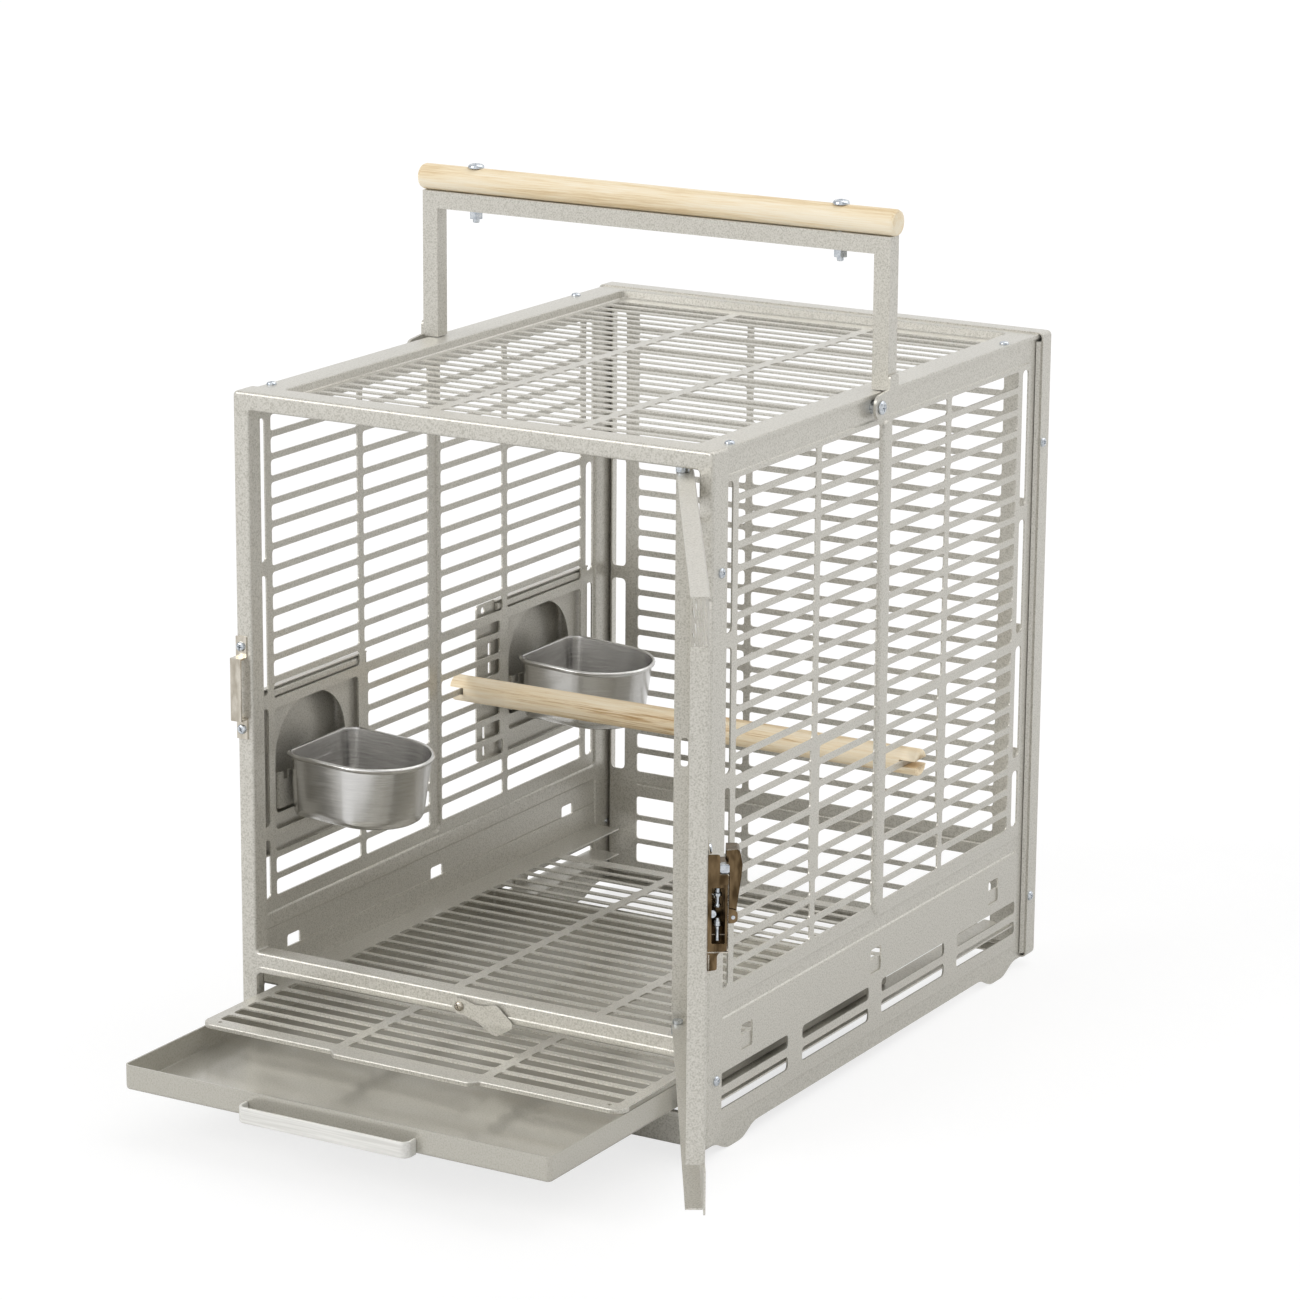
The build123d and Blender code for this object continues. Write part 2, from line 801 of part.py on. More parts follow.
def door_panel():
    """Grille pan with edges folded inward, two stop tabs and a pad for the latch."""
    free, heel = door_x(door_width), door_x(-door_heel)
    outline = rect(free, door_bottom, heel, door_top)
    y_face, y_inner = door_y(door_proud), door_y(door_proud - door_pan)
    first = free + door_border
    last = heel - door_border
    width = (last - first - (door_columns - 1) * door_bar) / door_columns
    low_slot = door_bottom + door_slot_low
    pitch = (door_top - door_slot_low - low_slot + row_pitch - slot_height) / door_rows
    height = pitch - (row_pitch - slot_height)
    pad_low = latch_mid - latch_half
    pad_high = latch_mid + latch_half
    holes = []
    for row in range(door_rows):
        low = low_slot + row * pitch
        for column in range(door_columns):
            left = first + column * (width + door_bar)
            right = left + width
            if column == 0 and pad_low < low + height and low < pad_high:
                left = free + door_latch_pad
            holes.append(rect(left, low, right, low + height))
    tabs = []
    for low in (door_bottom, door_top - door_tab_height):
        tab = rect(free - door_tab_reach, low, free + sheet, low + door_tab_height)
        tabs.append(slab_y(tab, y_face, y_face + sheet, (), [door_tab_round, 0, 0, door_tab_round]))
    panel = slab_y(outline, y_face, y_face + sheet, holes)
    edge = slab_y(outline, y_face, y_inner, [ring_points(outline, sheet)])
    for low in (door_bottom, door_top - door_tab_height):
        notch = rect(free - cut_over, low + sheet, free + sheet, low + door_tab_height - sheet)
        edge -= slab_y(notch, y_face + 2 * sheet, y_inner + cut_over)
    panel += edge
    for tab in tabs:
        panel += tab
    for low in (door_bottom - cut_over, door_top - cut_over):
        panel -= rod((hinge_x, door_y(0), low), (0, 0, 1), 2 * cut_over, hinge_screw_r + running)
    for x, z in latch_screw_places():
        panel -= rod((x, y_face - cut_over, z), (0, 1, 0), 2 * cut_over, screw_shank_r + running)
    return opened(panel)


def hinge_screws():
    """The two screws the door turns on, fixed in the frame's returns."""
    low_seat = (hinge_x, door_y(0), door_bottom + sheet + fit_gap)
    low = rod(low_seat, (0, 0, -1), low_seat[2] - opening_bottom + 2 * sheet, hinge_screw_r)
    low += rod(low_seat, (0, 0, 1), screw_head_height, screw_head_r)
    high_seat = (hinge_x, door_y(0), door_top - sheet - fit_gap)
    high = rod(high_seat, (0, 0, 1), opening_top - high_seat[2] + 2 * sheet, hinge_screw_r)
    high += rod(high_seat, (0, 0, -1), screw_head_height, screw_head_r)
    return group([low, high])


def hinge_spacers():
    """Collars that hold the door clear of the frame's returns."""
    bore = hinge_screw_r + running
    collars = []
    for low, high in ((opening_bottom, door_bottom - fit_gap), (door_top + fit_gap, opening_top)):
        ring = slab_z(disc(hinge_x, door_y(0), washer_r), low, high, [disc(hinge_x, door_y(0), bore)])
        collars.append(ring)
    return group(collars)


# Door latch: a bolt that slides out under the keeper's strap as the lever is swung down


def latch_limits():
    """X limits of the latch housing on the closed door."""
    low = door_x(door_width - latch_setback)
    return low, low + latch_length


def latch_screw_places():
    """X and Z of the four screws through the latch housing's feet."""
    low, high = latch_limits()
    inset = latch_screw_inset
    level = latch_half - latch_foot / 2
    return [(x, latch_mid + way * level) for x in (low + inset, high - inset) for way in (-1, 1)]


def latch_pin_place():
    """Y and Z of the lever's pin on the closed door."""
    return door_y(door_proud + latch_stand + lever_pin_out), latch_mid - lever_drop


def latch_body():
    """Channel housing with screw feet, an end window for the bolt and ears for the lever."""
    x_low, x_high = latch_limits()
    t = latch_sheet
    face = door_y(door_proud)
    crest = face - latch_stand
    walls = latch_half - latch_foot
    low, high = latch_mid - walls, latch_mid + walls
    body = slab_y(rect(x_low, low, x_high, high), crest, crest + t)
    for z_foot, z_wall in ((latch_mid - latch_half, low), (high, high - t)):
        foot = rect(x_low, z_foot, x_high, z_foot + latch_foot)
        body += slab_y(foot, face - t, face)
        body += slab_y(rect(x_low, z_wall, x_high, z_wall + t), crest, face)
    body += slab_x(rect(crest, low, face, high), x_low, x_low + t,
                   [rect(crest + latch_window_margin, latch_mid - latch_window_half,
                         face - fit_gap, latch_mid + latch_window_half)])
    pin_y, pin_z = latch_pin_place()
    middle = (x_low + x_high) / 2
    for way in (-1, 1):
        near = middle + way * (lever_width / 2 + fit_gap)
        far = near + way * t
        ear = rect(pin_y - ear_reach, pin_z - ear_height / 2, crest + t, pin_z + ear_height / 2)
        body += slab_x(ear, min(near, far), max(near, far), [disc(pin_y, pin_z, lever_pin_r + running)])
    guide_x = x_high - latch_sheet * 2
    guide = rect(crest + t, latch_mid - bolt_r * 2, face, latch_mid + bolt_r * 2)
    body += slab_x(guide, guide_x, x_high,
                   [disc(door_y(door_proud + bolt_lift), latch_mid, bolt_r + running)])
    for x, z in latch_screw_places():
        body -= rod((x, face - cut_over, z), (0, 1, 0), 2 * cut_over, screw_shank_r + running)
    return opened(body)


def latch_bolt():
    """Round bolt, drawn back at rest."""
    x_low, _ = latch_limits()
    start = (x_low + fit_gap, door_y(door_proud + bolt_lift), latch_mid)
    return opened(rod(start, (1, 0, 0), bolt_length, bolt_r))


def latch_lever():
    """Leaning paddle with a barrel that turns on the pin between the ears."""
    x_low, x_high = latch_limits()
    middle = (x_low + x_high) / 2
    pin_y, pin_z = latch_pin_place()
    t = lever_sheet
    low_x, high_x = middle - lever_width / 2, middle + lever_width / 2
    profile = [(pin_y - t / 2, pin_z), (pin_y + t / 2, pin_z),
               (pin_y + t / 2 - lever_lean, pin_z + lever_height),
               (pin_y - t / 2 - lever_lean, pin_z + lever_height)]
    lever = slab_x(profile, low_x, high_x)
    lever += rod((low_x, pin_y, pin_z), (1, 0, 0), lever_width, lever_barrel_r)
    lever -= rod((low_x - cut_over, pin_y, pin_z), (1, 0, 0), lever_width + 2 * cut_over,
                 lever_pin_r + running)
    return opened(lever)


def latch_pin():
    """Pin through the ears and the lever's barrel."""
    x_low, x_high = latch_limits()
    middle = (x_low + x_high) / 2
    pin_y, pin_z = latch_pin_place()
    half = lever_width / 2 + fit_gap + latch_sheet + fit_gap
    return opened(rod((middle - half, pin_y, pin_z), (1, 0, 0), 2 * half, lever_pin_r))


def latch_screws():
    """Four screws through the housing's feet into the door."""
    seat_y = door_y(door_proud) - latch_sheet
    return group([opened(screw((x, seat_y, z), (0, 1, 0), screw_length - screw_head_height,
                               latch_screw_head_r)) for x, z in latch_screw_places()])


def keeper_screw_heights():
    """Heights of the keeper's two screws."""
    level = latch_half - (latch_half - keeper_strap_half) / 2
    return [latch_mid - level, latch_mid + level]


def latch_keeper():
    """Strap on the left stile that the bolt slides under."""
    x_low, x_high = keeper_x - keeper_half_width, keeper_x + keeper_half_width
    strap_low, strap_high = latch_mid - keeper_strap_half, latch_mid + keeper_strap_half
    crest = front_y - keeper_raise
    keeper = slab_y(rect(x_low, strap_low, x_high, strap_high), crest, crest + sheet)
    for z_foot, z_end, z_wall in ((latch_mid - latch_half, strap_low, strap_low),
                                  (strap_high, latch_mid + latch_half, strap_high - sheet)):
        foot = rect(x_low, z_foot, x_high, z_end)
        keeper += slab_y(foot, front_y - sheet, front_y)
        keeper += slab_y(rect(x_low, z_wall, x_high, z_wall + sheet), crest, front_y)
    for z in keeper_screw_heights():
        keeper -= rod((keeper_x, front_y - cut_over, z), (0, 1, 0), 2 * cut_over,
                      screw_shank_r + running)
    return keeper


# Carrying handle


def handle_frame():
    """Square tube bent to a gate: two legs and a cross tube under the grip."""
    half = handle_half_width
    z_low = frame_top - sheet + handle_lift
    y_low, y_high = front_y + handle_mid - tube / 2, front_y + handle_mid + tube / 2
    leg = rect(-half, y_low, tube - half, y_high)
    bore = ring_points(leg, tube_wall)
    left = slab_z(leg, z_low, handle_top, ())
    left -= slab_z(bore, z_low - cut_over, handle_top - tube_wall)
    right = mirror(left, Plane.YZ)
    beam = slab_z(rect(-half, y_low, half, y_high), handle_top - tube, handle_top)
    hollow = slab_z(rect(tube - half, y_low + tube_wall, half - tube, y_high - tube_wall),
                    handle_top - tube + tube_wall, handle_top - tube_wall)
    frame = left + right + (beam - hollow)
    for x in (-grip_bolt_x, grip_bolt_x):
        frame -= rod((x, front_y + handle_mid, handle_top - tube - cut_over), (0, 0, 1),
                     tube + 2 * cut_over, grip_bolt_r + running)
    return frame


def handle_straps():
    """Plates outside the legs that reach forward and down to the pivots."""
    y_mid = front_y + handle_mid
    y_pivot = front_y + pivot_from_front
    z_leg = frame_top - sheet + handle_lift
    r = strap_round
    points = [(y_mid - tube / 2, strap_top), (y_mid - tube / 2, z_leg + sheet),
              (y_pivot - r, pivot_z + r), (y_pivot - r, pivot_z - r), (y_pivot + r, pivot_z - r),
              (y_mid + tube / 2, z_leg), (y_mid + tube / 2, strap_top)]
    rounds = [strap_back_round, 0.0] + [strap_front_round] * 3 + [0.0, strap_back_round]
    hole = disc(y_pivot, pivot_z, pivot_r + running)
    strap = slab_x(points, handle_half_width, handle_half_width + strap_sheet, [hole], rounds)
    return group([strap, mirror(strap, Plane.YZ)])


def handle_grip():
    """Round wooden grip with eased ends, drilled for its bolts."""
    z = handle_top + grip_r
    grip = rod((-grip_half_length, front_y + handle_mid, z), (1, 0, 0), 2 * grip_half_length, grip_r)
    grip = fillet(grip.edges().filter_by(GeomType.CIRCLE), grip_end_round)
    for x in (-grip_bolt_x, grip_bolt_x):
        grip -= rod((x, front_y + handle_mid, z - grip_r - cut_over), (0, 0, 1),
                    2 * grip_r + 2 * cut_over, grip_bolt_r + running)
    return grip


def grip_bolts():
    """Domed bolts down through grip and cross tube."""
    top = handle_top + 2 * grip_r
    bottom = handle_top - tube - grip_nut - bolt_end
    bolts = []
    for x in (-grip_bolt_x, grip_bolt_x):
        bolt = rod((x, front_y + handle_mid, bottom), (0, 0, 1), top - bottom, grip_bolt_r)
        head = rod((x, front_y + handle_mid, top), (0, 0, 1), grip_head, grip_head_r)
        head = fillet(head.edges().group_by(Axis.Z)[-1], grip_head_round)
        bolts.append(bolt + head)
    return group(bolts)


def hex_nut(seat, direction, radius, height, bore):
    """Six-sided nut on its seat."""
    plane = Plane(origin=seat, z_dir=direction)
    face = RegularPolygon(radius, 6) - Circle(bore)
    return extrude(plane * face, height, dir=plane.z_dir)


def grip_nuts():
    """Nuts under the cross tube."""
    z = handle_top - tube
    return group([hex_nut((x, front_y + handle_mid, z), (0, 0, -1), grip_nut_r, grip_nut,
                          grip_bolt_r + running) for x in (-grip_bolt_x, grip_bolt_x)])


def pivot_screws():
    """Screws the handle folds on, through strap, spacer and side panel."""
    head_x = handle_half_width + strap_sheet + fit_gap
    inner = side_outer - sheet - pivot_nut - bolt_end / 2
    y = front_y + pivot_from_front
    screws = []
    for side in (-1, 1):
        bolt = rod((side * inner, y, pivot_z), (side, 0, 0), head_x - inner, pivot_r)
        head = rod((side * head_x, y, pivot_z), (side, 0, 0), pivot_head, pivot_head_r)
        rim = head.edges().group_by(Axis.X)[-1 if side > 0 else 0]
        head = fillet(rim, pivot_head_round)
        screws.append(bolt + head)
    return group(screws)


def pivot_spacers():
    """Collars between the side panels and the straps."""
    y = front_y + pivot_from_front
    bore = disc(y, pivot_z, pivot_r + running)
    ring = slab_x(disc(y, pivot_z, spacer_r), side_outer, handle_half_width - fit_gap, [bore])
    return group([ring, mirror(ring, Plane.YZ)])


def pivot_nuts():
    """Nuts inside the side panels."""
    y = front_y + pivot_from_front
    x = side_outer - sheet
    return group([hex_nut((side * x, y, pivot_z), (-side, 0, 0), pivot_nut_r, pivot_nut,
                          pivot_r + running) for side in (-1, 1)])


# Perch


def perch():
    """Dowel whose notched ends sit over one bar of each side grille."""
    low, _ = side_rows()[perch_row + 1]
    bar_top = low
    bar = row_pitch - slot_height
    z = bar_top - bar / 2
    y = front_y + perch_from_front
    dowel = rod((-perch_half_length, y, z), (1, 0, 0), 2 * perch_half_length, perch_r)
    start = side_outer - sheet - perch_notch_gap
    for side in (-1, 1):
        ends = sorted((side * start, side * (perch_half_length + cut_over)))
        notch = rect(ends[0], y - perch_r - cut_over, ends[1], y + perch_r + cut_over)
        dowel -= slab_z(notch, bar_top - bar - perch_notch_gap, bar_top + perch_notch_gap)
    return dowel


# Feeders


def feeder_mid(index):
    """Y of a feeder's middle, at the middle of its panel opening."""
    reach = rib_gap_half + inner_column + thin_bar + wide_bar_out / 2 + outer_column / 2
    return front_y + grille_mid + (reach if index else -reach)


def feeder_plate(index):
    """Outside plate with an arched window, a hung strip at its front and hinge knuckles."""
    mid = feeder_mid(index)
    low_y = mid - feeder_shift - feeder_half_length
    high_y = mid - feeder_shift + feeder_half_length
    x_in, x_out = -feeder_plane, -feeder_plane - sheet
    half, low, high = feeder_window_half, feeder_window_low, feeder_window_top
    window_rounds = [feeder_corner, feeder_corner, feeder_arch, feeder_arch]
    window = loop(rect(mid - half, low, mid + half, high), window_rounds)
    holes = [window, disc(low_y + feeder_hole_inset, feeder_top - feeder_corner - sheet,
                          feeder_hole_r)]
    for along, level_share in zip(feeder_slot_insets, feeder_slot_shares):
        slot_y = low_y + along
        slot_z = feeder_bottom + (feeder_top - feeder_bottom) * level_share
        holes.append(rect(slot_y - feeder_slot_width / 2, slot_z, slot_y + feeder_slot_width / 2,
                          slot_z + feeder_slot_height))
    outline = rect(low_y, feeder_bottom, high_y, feeder_top)
    panel = slab_x(outline, x_out, x_in, holes, feeder_corner)
    fold_low = low_y + frame_flange + feeder_corner
    for z in (feeder_bottom, feeder_top - sheet):
        fold = rect(x_in - sheet, fold_low, x_in + feeder_flange, high_y - feeder_corner)
        panel += slab_z(fold, z, z + sheet)
    for way in (-1, 1):
        start = mid + way * (hood_barrel_half + fit_gap)
        end = start + way * hood_knuckle
        knuckle = rect(min(start, end), hood_hinge_z() - hood_barrel_r, max(start, end),
                       hood_hinge_z() + hood_barrel_r)
        panel += slab_x(knuckle, hood_hinge_x() - hood_barrel_r, x_out)
    reach = hood_barrel_half + fit_gap + hood_knuckle + cut_over
    panel -= rod((hood_hinge_x(), mid - reach, hood_hinge_z()), (0, 1, 0), 2 * reach,
                 hood_pin_r + running)
    return panel


def hood_hinge_x():
    """X of the hood's hinge line."""
    return -feeder_plane - sheet - hood_hinge_gap


def hood_hinge_z():
    """Height of the hood's hinge line."""
    return hood_top + hood_barrel_r + fit_gap


def feeder_hood(index):
    """Shallow domed door that closes the feeder from outside, hinged along its top."""
    mid = feeder_mid(index)
    x_near = -feeder_plane - sheet - fit_gap
    x_far = x_near - hood_depth
    outline = rect(mid - hood_half, hood_bottom, mid + hood_half, hood_top)
    rounds = [hood_round, hood_round, hood_crown, hood_crown]
    hood = slab_x(outline, x_far, x_near, (), rounds)
    far_face = hood.faces().sort_by(Axis.X)[0]
    hood = fillet(far_face.edges(), hood_round - hood_sheet)
    inner_rounds = [hood_round - hood_sheet] * 2 + [hood_crown - hood_sheet] * 2
    hollow = slab_x(ring_points(outline, hood_sheet), x_far + hood_sheet, x_near + cut_over, (),
                    inner_rounds)
    hood -= fillet(hollow.faces().sort_by(Axis.X)[0].edges(), hood_round - 2 * hood_sheet)
    hinge_x_at, hinge_z = hood_hinge_x(), hood_hinge_z()
    barrel = rod((hinge_x_at, mid - hood_barrel_half, hinge_z), (0, 1, 0), 2 * hood_barrel_half,
                 hood_barrel_r)
    leaf = rect(mid - hood_barrel_half, hood_top - hood_sheet, mid + hood_barrel_half, hinge_z)
    barrel += slab_x(leaf, hinge_x_at - hood_barrel_r, hinge_x_at - hood_barrel_r + hood_sheet)
    barrel -= rod((hinge_x_at, mid - hood_barrel_half - cut_over, hinge_z), (0, 1, 0),
                  2 * hood_barrel_half + 2 * cut_over, hood_pin_r + running)
    return hood + barrel


def feeder_pin(index):
    """Pin through the hood's barrel and the plate's knuckles."""
    half = hood_barrel_half + hood_knuckle + fit_gap
    return rod((hood_hinge_x(), feeder_mid(index) - half, hood_hinge_z()), (0, 1, 0), 2 * half,
               hood_pin_r)


def cup_bracket(index):
    """Cross strip over the window's lower part that the cup's hook hangs on."""
    mid = feeder_mid(index)
    x_low = -bracket_out - sheet
    notch = bracket_notch
    outline = [(mid - bracket_half, bracket_bottom), (mid + bracket_half, bracket_bottom),
               (mid + bracket_half, bracket_top), (mid + bracket_half - notch, bracket_top),
               (mid + bracket_half - notch, bracket_top - notch),
               (mid + bracket_half - 2 * notch, bracket_top - notch),
               (mid + bracket_half - 2 * notch, bracket_top),
               (mid - bracket_half + 2 * notch, bracket_top),
               (mid - bracket_half + 2 * notch, bracket_top - notch),
               (mid - bracket_half + notch, bracket_top - notch),
               (mid - bracket_half + notch, bracket_top), (mid - bracket_half, bracket_top)]
    strip = slab_x(outline, x_low, -bracket_out)
    for way in (-1, 1):
        start = mid + way * bracket_half
        end = start - way * bracket_foot
        foot = rect(min(start, end), bracket_bottom, max(start, end), bracket_top)
        strip += slab_x(foot, -feeder_plane, -bracket_out)
    return strip


def cup_outline(inset):
    """D-shaped outline of the cup in plan, about the middle of its flat side."""
    half, reach = cup_half_width - inset, cup_reach - inset
    corner = max(cup_corner - inset, sheet)
    flat = inset
    centre = reach - half
    bow = [ThreePointArc((centre, -half), (reach, 0), (centre, half))]
    top = FilletPolyline((centre, half), (flat, half), (flat, -half), (centre, -half),
                         radius=corner)
    return Wire(bow + list(top.edges()))


def cup(index):
    """Drawn steel cup with a rolled rim and a hook strip on its flat side."""
    taper = cup_taper
    outer_top, outer_low = Face(cup_outline(0.0)), Face(cup_outline(taper))
    inner_top, inner_low = Face(cup_outline(cup_wall)), Face(cup_outline(taper + cup_wall))
    depth = cup_height
    outer = loft([Pos(0, 0, -depth) * outer_low, outer_top])
    outer = fillet(outer.faces().sort_by(Axis.Z)[0].edges(), cup_floor_round)
    inner = loft([Pos(0, 0, cup_wall - depth) * inner_low, Pos(0, 0, cup_wall) * inner_top])
    inner = fillet(inner.faces().sort_by(Axis.Z)[0].edges(), cup_floor_round - cup_wall)
    shell = outer - inner
    rim_face = Face(cup_outline(-cup_rim), [cup_outline(cup_wall)])
    rim = extrude(Pos(0, 0, -cup_rim_height) * rim_face, cup_rim_height, dir=(0, 0, 1))
    rim = chamfer(rim.faces().sort_by(Axis.Z)[0].outer_wire().edges(), cup_rim_chamfer)
    body = shell + rim
    out = -cup_rim - sheet
    hook_top = -cup_hook_below
    hook = slab_z(rect(out - 2 * cup_hook_sheet, -cup_hook_half, taper, cup_hook_half),
                  hook_top - cup_hook_sheet, hook_top)
    hook += slab_z(rect(out - 2 * cup_hook_sheet, -cup_hook_half, out - cup_hook_sheet,
                        cup_hook_half), hook_top - cup_hook_drop, hook_top)
    body += hook - inner
    x = -cup_flat_x
    return Pos(x, feeder_mid(index), cup_rim_z) * (Rot(0, cup_droop, 0) * body)


# Fasteners of the body


def frame_screws():
    """Screws through the front frame's side edges."""
    return group([screw(seat, inward) for seat, inward
                  in edge_screw_seats(front_y + edge_screw_inset)])


def back_screws():
    """Screws through the back panel's side edges."""
    return group([screw(seat, inward) for seat, inward
                  in edge_screw_seats(back_y - edge_screw_inset)])


def top_screws():
    """Screws that hold the top panel to the side panels' lips."""
    return group([screw((x, y, frame_top - sheet), (0, 0, -1)) for x, y in top_screw_places()])


def keeper_screws():
    """Screws that hold the keeper to the stile."""
    return group([screw((keeper_x, front_y - sheet, z), (0, 1, 0), 2 * sheet)
                  for z in keeper_screw_heights()])


def build_nodes():
    """Every node of the cage by its name."""
    nodes = {
        "front_frame": front_frame(),
        "left_side_panel": side_panel(-1),
        "right_side_panel": side_panel(1),
        "back_panel": back_panel(),
        "top_panel": top_panel(),
        "left_runner": runner(-1),
        "right_runner": runner(1),
        "frame_screws": frame_screws(),
        "back_screws": back_screws(),
        "top_screws": top_screws(),
        "door_panel": door_panel(),
        "door_hinge_screws": hinge_screws(),
        "door_hinge_spacers": hinge_spacers(),
        "latch_body": latch_body(),
        "latch_bolt": latch_bolt(),
        "latch_lever": latch_lever(),
        "latch_pin": latch_pin(),
        "latch_screws": latch_screws(),
        "latch_keeper": latch_keeper(),
        "keeper_screws": keeper_screws(),
        "handle_frame": handle_frame(),
        "handle_straps": handle_straps(),
        "handle_grip": handle_grip(),
        "grip_bolts": grip_bolts(),
        "grip_nuts": grip_nuts(),
        "handle_pivot_screws": pivot_screws(),
        "handle_pivot_spacers": pivot_spacers(),
        "handle_pivot_nuts": pivot_nuts(),
        "perch": perch(),
        "floor_grate": floor_grate(),
        "tray": tray(),
        "tray_handle": tray_handle(),
        "swivel_latch": swivel_latch(),
        "swivel_screw": swivel_screw(),
    }
    for index, place in enumerate(("front", "rear")):
        nodes[f"feeder_plate_{place}"] = feeder_plate(index)
        nodes[f"feeder_hood_{place}"] = feeder_hood(index)
        nodes[f"feeder_pin_{place}"] = feeder_pin(index)
        nodes[f"cup_bracket_{place}"] = cup_bracket(index)
        nodes[f"cup_{place}"] = cup(index)
    return nodes


os.makedirs("parts", exist_ok=True)
for name, shape in build_nodes().items():
    export_step(Pos(-origin_x, -origin_y, 0) * shape, f"parts/{name}.step")
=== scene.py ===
import json
import math

import bmesh
import bpy
from mathutils import Matrix, Vector
from mathutils.geometry import delaunay_2d_cdt


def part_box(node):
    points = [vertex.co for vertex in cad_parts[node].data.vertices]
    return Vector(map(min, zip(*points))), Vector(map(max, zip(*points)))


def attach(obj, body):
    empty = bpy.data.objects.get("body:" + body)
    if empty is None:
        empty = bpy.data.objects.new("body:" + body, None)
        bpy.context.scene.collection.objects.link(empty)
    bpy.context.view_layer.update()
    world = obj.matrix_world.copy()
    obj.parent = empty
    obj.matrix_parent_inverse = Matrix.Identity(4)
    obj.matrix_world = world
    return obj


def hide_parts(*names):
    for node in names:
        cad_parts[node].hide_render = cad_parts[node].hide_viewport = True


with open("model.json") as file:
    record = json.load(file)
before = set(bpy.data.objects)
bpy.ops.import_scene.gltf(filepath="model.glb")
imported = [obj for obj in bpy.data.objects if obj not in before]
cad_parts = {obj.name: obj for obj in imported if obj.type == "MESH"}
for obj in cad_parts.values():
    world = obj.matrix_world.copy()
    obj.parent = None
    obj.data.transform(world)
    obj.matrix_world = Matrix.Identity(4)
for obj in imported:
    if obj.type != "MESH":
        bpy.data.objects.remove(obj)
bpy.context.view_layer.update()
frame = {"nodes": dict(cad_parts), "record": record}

# A powder-coated steel carrier for birds. Sizes are in millimetres about the middle of the cage's
# body, and every mesh is written in metres about the part's own origin. A box is given as its
# lower and then its upper corner.
MM = 0.001
ORIGIN = Vector((-78.0, 147.0, 0.0))
SHEET = 1.2

# Angles in degrees under which an edge is shaded smooth: folded sheet, turned pieces, stampings
SMOOTH = 35.0
SMOOTH_TURNED = 40.0
SMOOTH_STAMPED = 30.0

# Body: limits, radius of its folded edges, the front's door opening, how far back that opening's
# edge is returned, and the tray slot
FRONT = -256.5
BACK = 256.5
HALF = 193.3
FRAME_TOP = 498.2
FRAME_LOW = 10.0
PANEL_LOW = 8.0
FOLD = 2.4
OPENING = (-180.0, 88.3, 182.0, 484.8)
RETURN = 14.0
SLOT = (-179.6, 34.5, 179.6, 73.0)

# Grilles: slot rows from the lowest one up, the middle of a side's length, and the side panels'
# levels out from the cage's middle, with the ends of their hems and of their top lip
ROW = 16.35
SLOT_HIGH = 11.75
SLOT_ROUND = 2.4
ROWS = 22
FIRST = 119.0
MID = FRONT + 251.5
SIDE_OUT = 188.8
RAISE = 1.5
RIB_RAISE = 2.0
HEM_LOW = 12.0
HEM_TOP = 491.8
LIP_END = 15.2

# Feeders: the middle of each along the left side, and the slot rows that they reach over
FEEDERS = {"front": MID - 157.8, "rear": MID + 157.8}
FEEDER_ROWS = slice(3, 9)

# Door, drawn closed about its hinge line
HINGE = Vector((166.0, FRONT + 6.5, 0.0))
DOOR_ANGLE = 121.5
DOOR_WIDTH = 343.0
DOOR_HEEL = 9.0
DOOR_LOW = 94.3
DOOR_TOP = 481.0
DOOR_FACE = 8.0
DOOR_PAN = 12.0

# Latch on the door's free edge: its middle height and half its height, its left end and length
# along the door, and how far its crest stands out of the door's face
LATCH_MID = 284.0
LATCH_REACH = 37.5
LATCH_LEFT = HINGE.x - DOOR_WIDTH + 2.0
LATCH_LONG = 36.0
CREST = 12.6

# Swivel latch's pivot across and up, and screws as head radius, head height and shank radius
SWIVEL = (-5.6, 79.6)
PANEL_SCREW = (3.6, 2.2, 1.7)
LATCH_SCREW = (3.5, 2.2, 1.7)
GRIP_BOLT = (6.0, 3.2, 2.5)
PIVOT_BOLT = (5.0, 2.4, 2.5)


# Flat shapes


def metres(point):
    """A point of the drawing in the part's own frame."""
    return (Vector(point) + ORIGIN) * MM


def drawn_box(node):
    """A solid's limits in the drawing."""
    return [Vector(corner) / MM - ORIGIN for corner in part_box(node)]


def grow(box, by):
    """A rectangle grown by the same amount on all sides."""
    return box[0] - by, box[1] - by, box[2] + by, box[3] + by


def rounded(points, radii, steps=4):
    """A closed outline whose corners are rounded by the radii given, one for each point."""
    loop = []
    for i, point in enumerate(points):
        here = Vector(point)
        if radii[i] <= 0.0:
            loop.append(tuple(here))
            continue
        back = Vector(points[i - 1]) - here
        ahead = Vector(points[(i + 1) % len(points)]) - here
        half = back.angle(ahead) / 2
        reach = min(radii[i] / math.tan(half), back.length / 2, ahead.length / 2)
        start, end = here + back.normalized() * reach, here + ahead.normalized() * reach
        middle = (back.normalized() + ahead.normalized()).normalized()
        centre = here + middle * (reach / math.cos(half))
        turn = (start - centre).angle_signed(end - centre)
        for step in range(steps + 1):
            spoke = start - centre
            spoke.rotate(Matrix.Rotation(-turn * step / steps, 2))
            loop.append(tuple(centre + spoke))
    return loop


def box_loop(box, radius, steps=4):
    """A rectangle's outline with rounded corners."""
    corners = [(box[0], box[1]), (box[2], box[1]), (box[2], box[3]), (box[0], box[3])]
    return rounded(corners, [max(radius, 0.02)] * 4, steps)


def grid_slots(columns, rows, radius=SLOT_ROUND):
    """Rounded slots for every column and row."""
    return [box_loop((left, low, right, high), radius, 3)
            for left, right in columns for low, high in rows]


def slot_rows(first, pitch, count):
    """Lower and upper edges of evenly spaced slots."""
    return [(first + pitch * n, first + pitch * n + SLOT_HIGH) for n in range(count)]


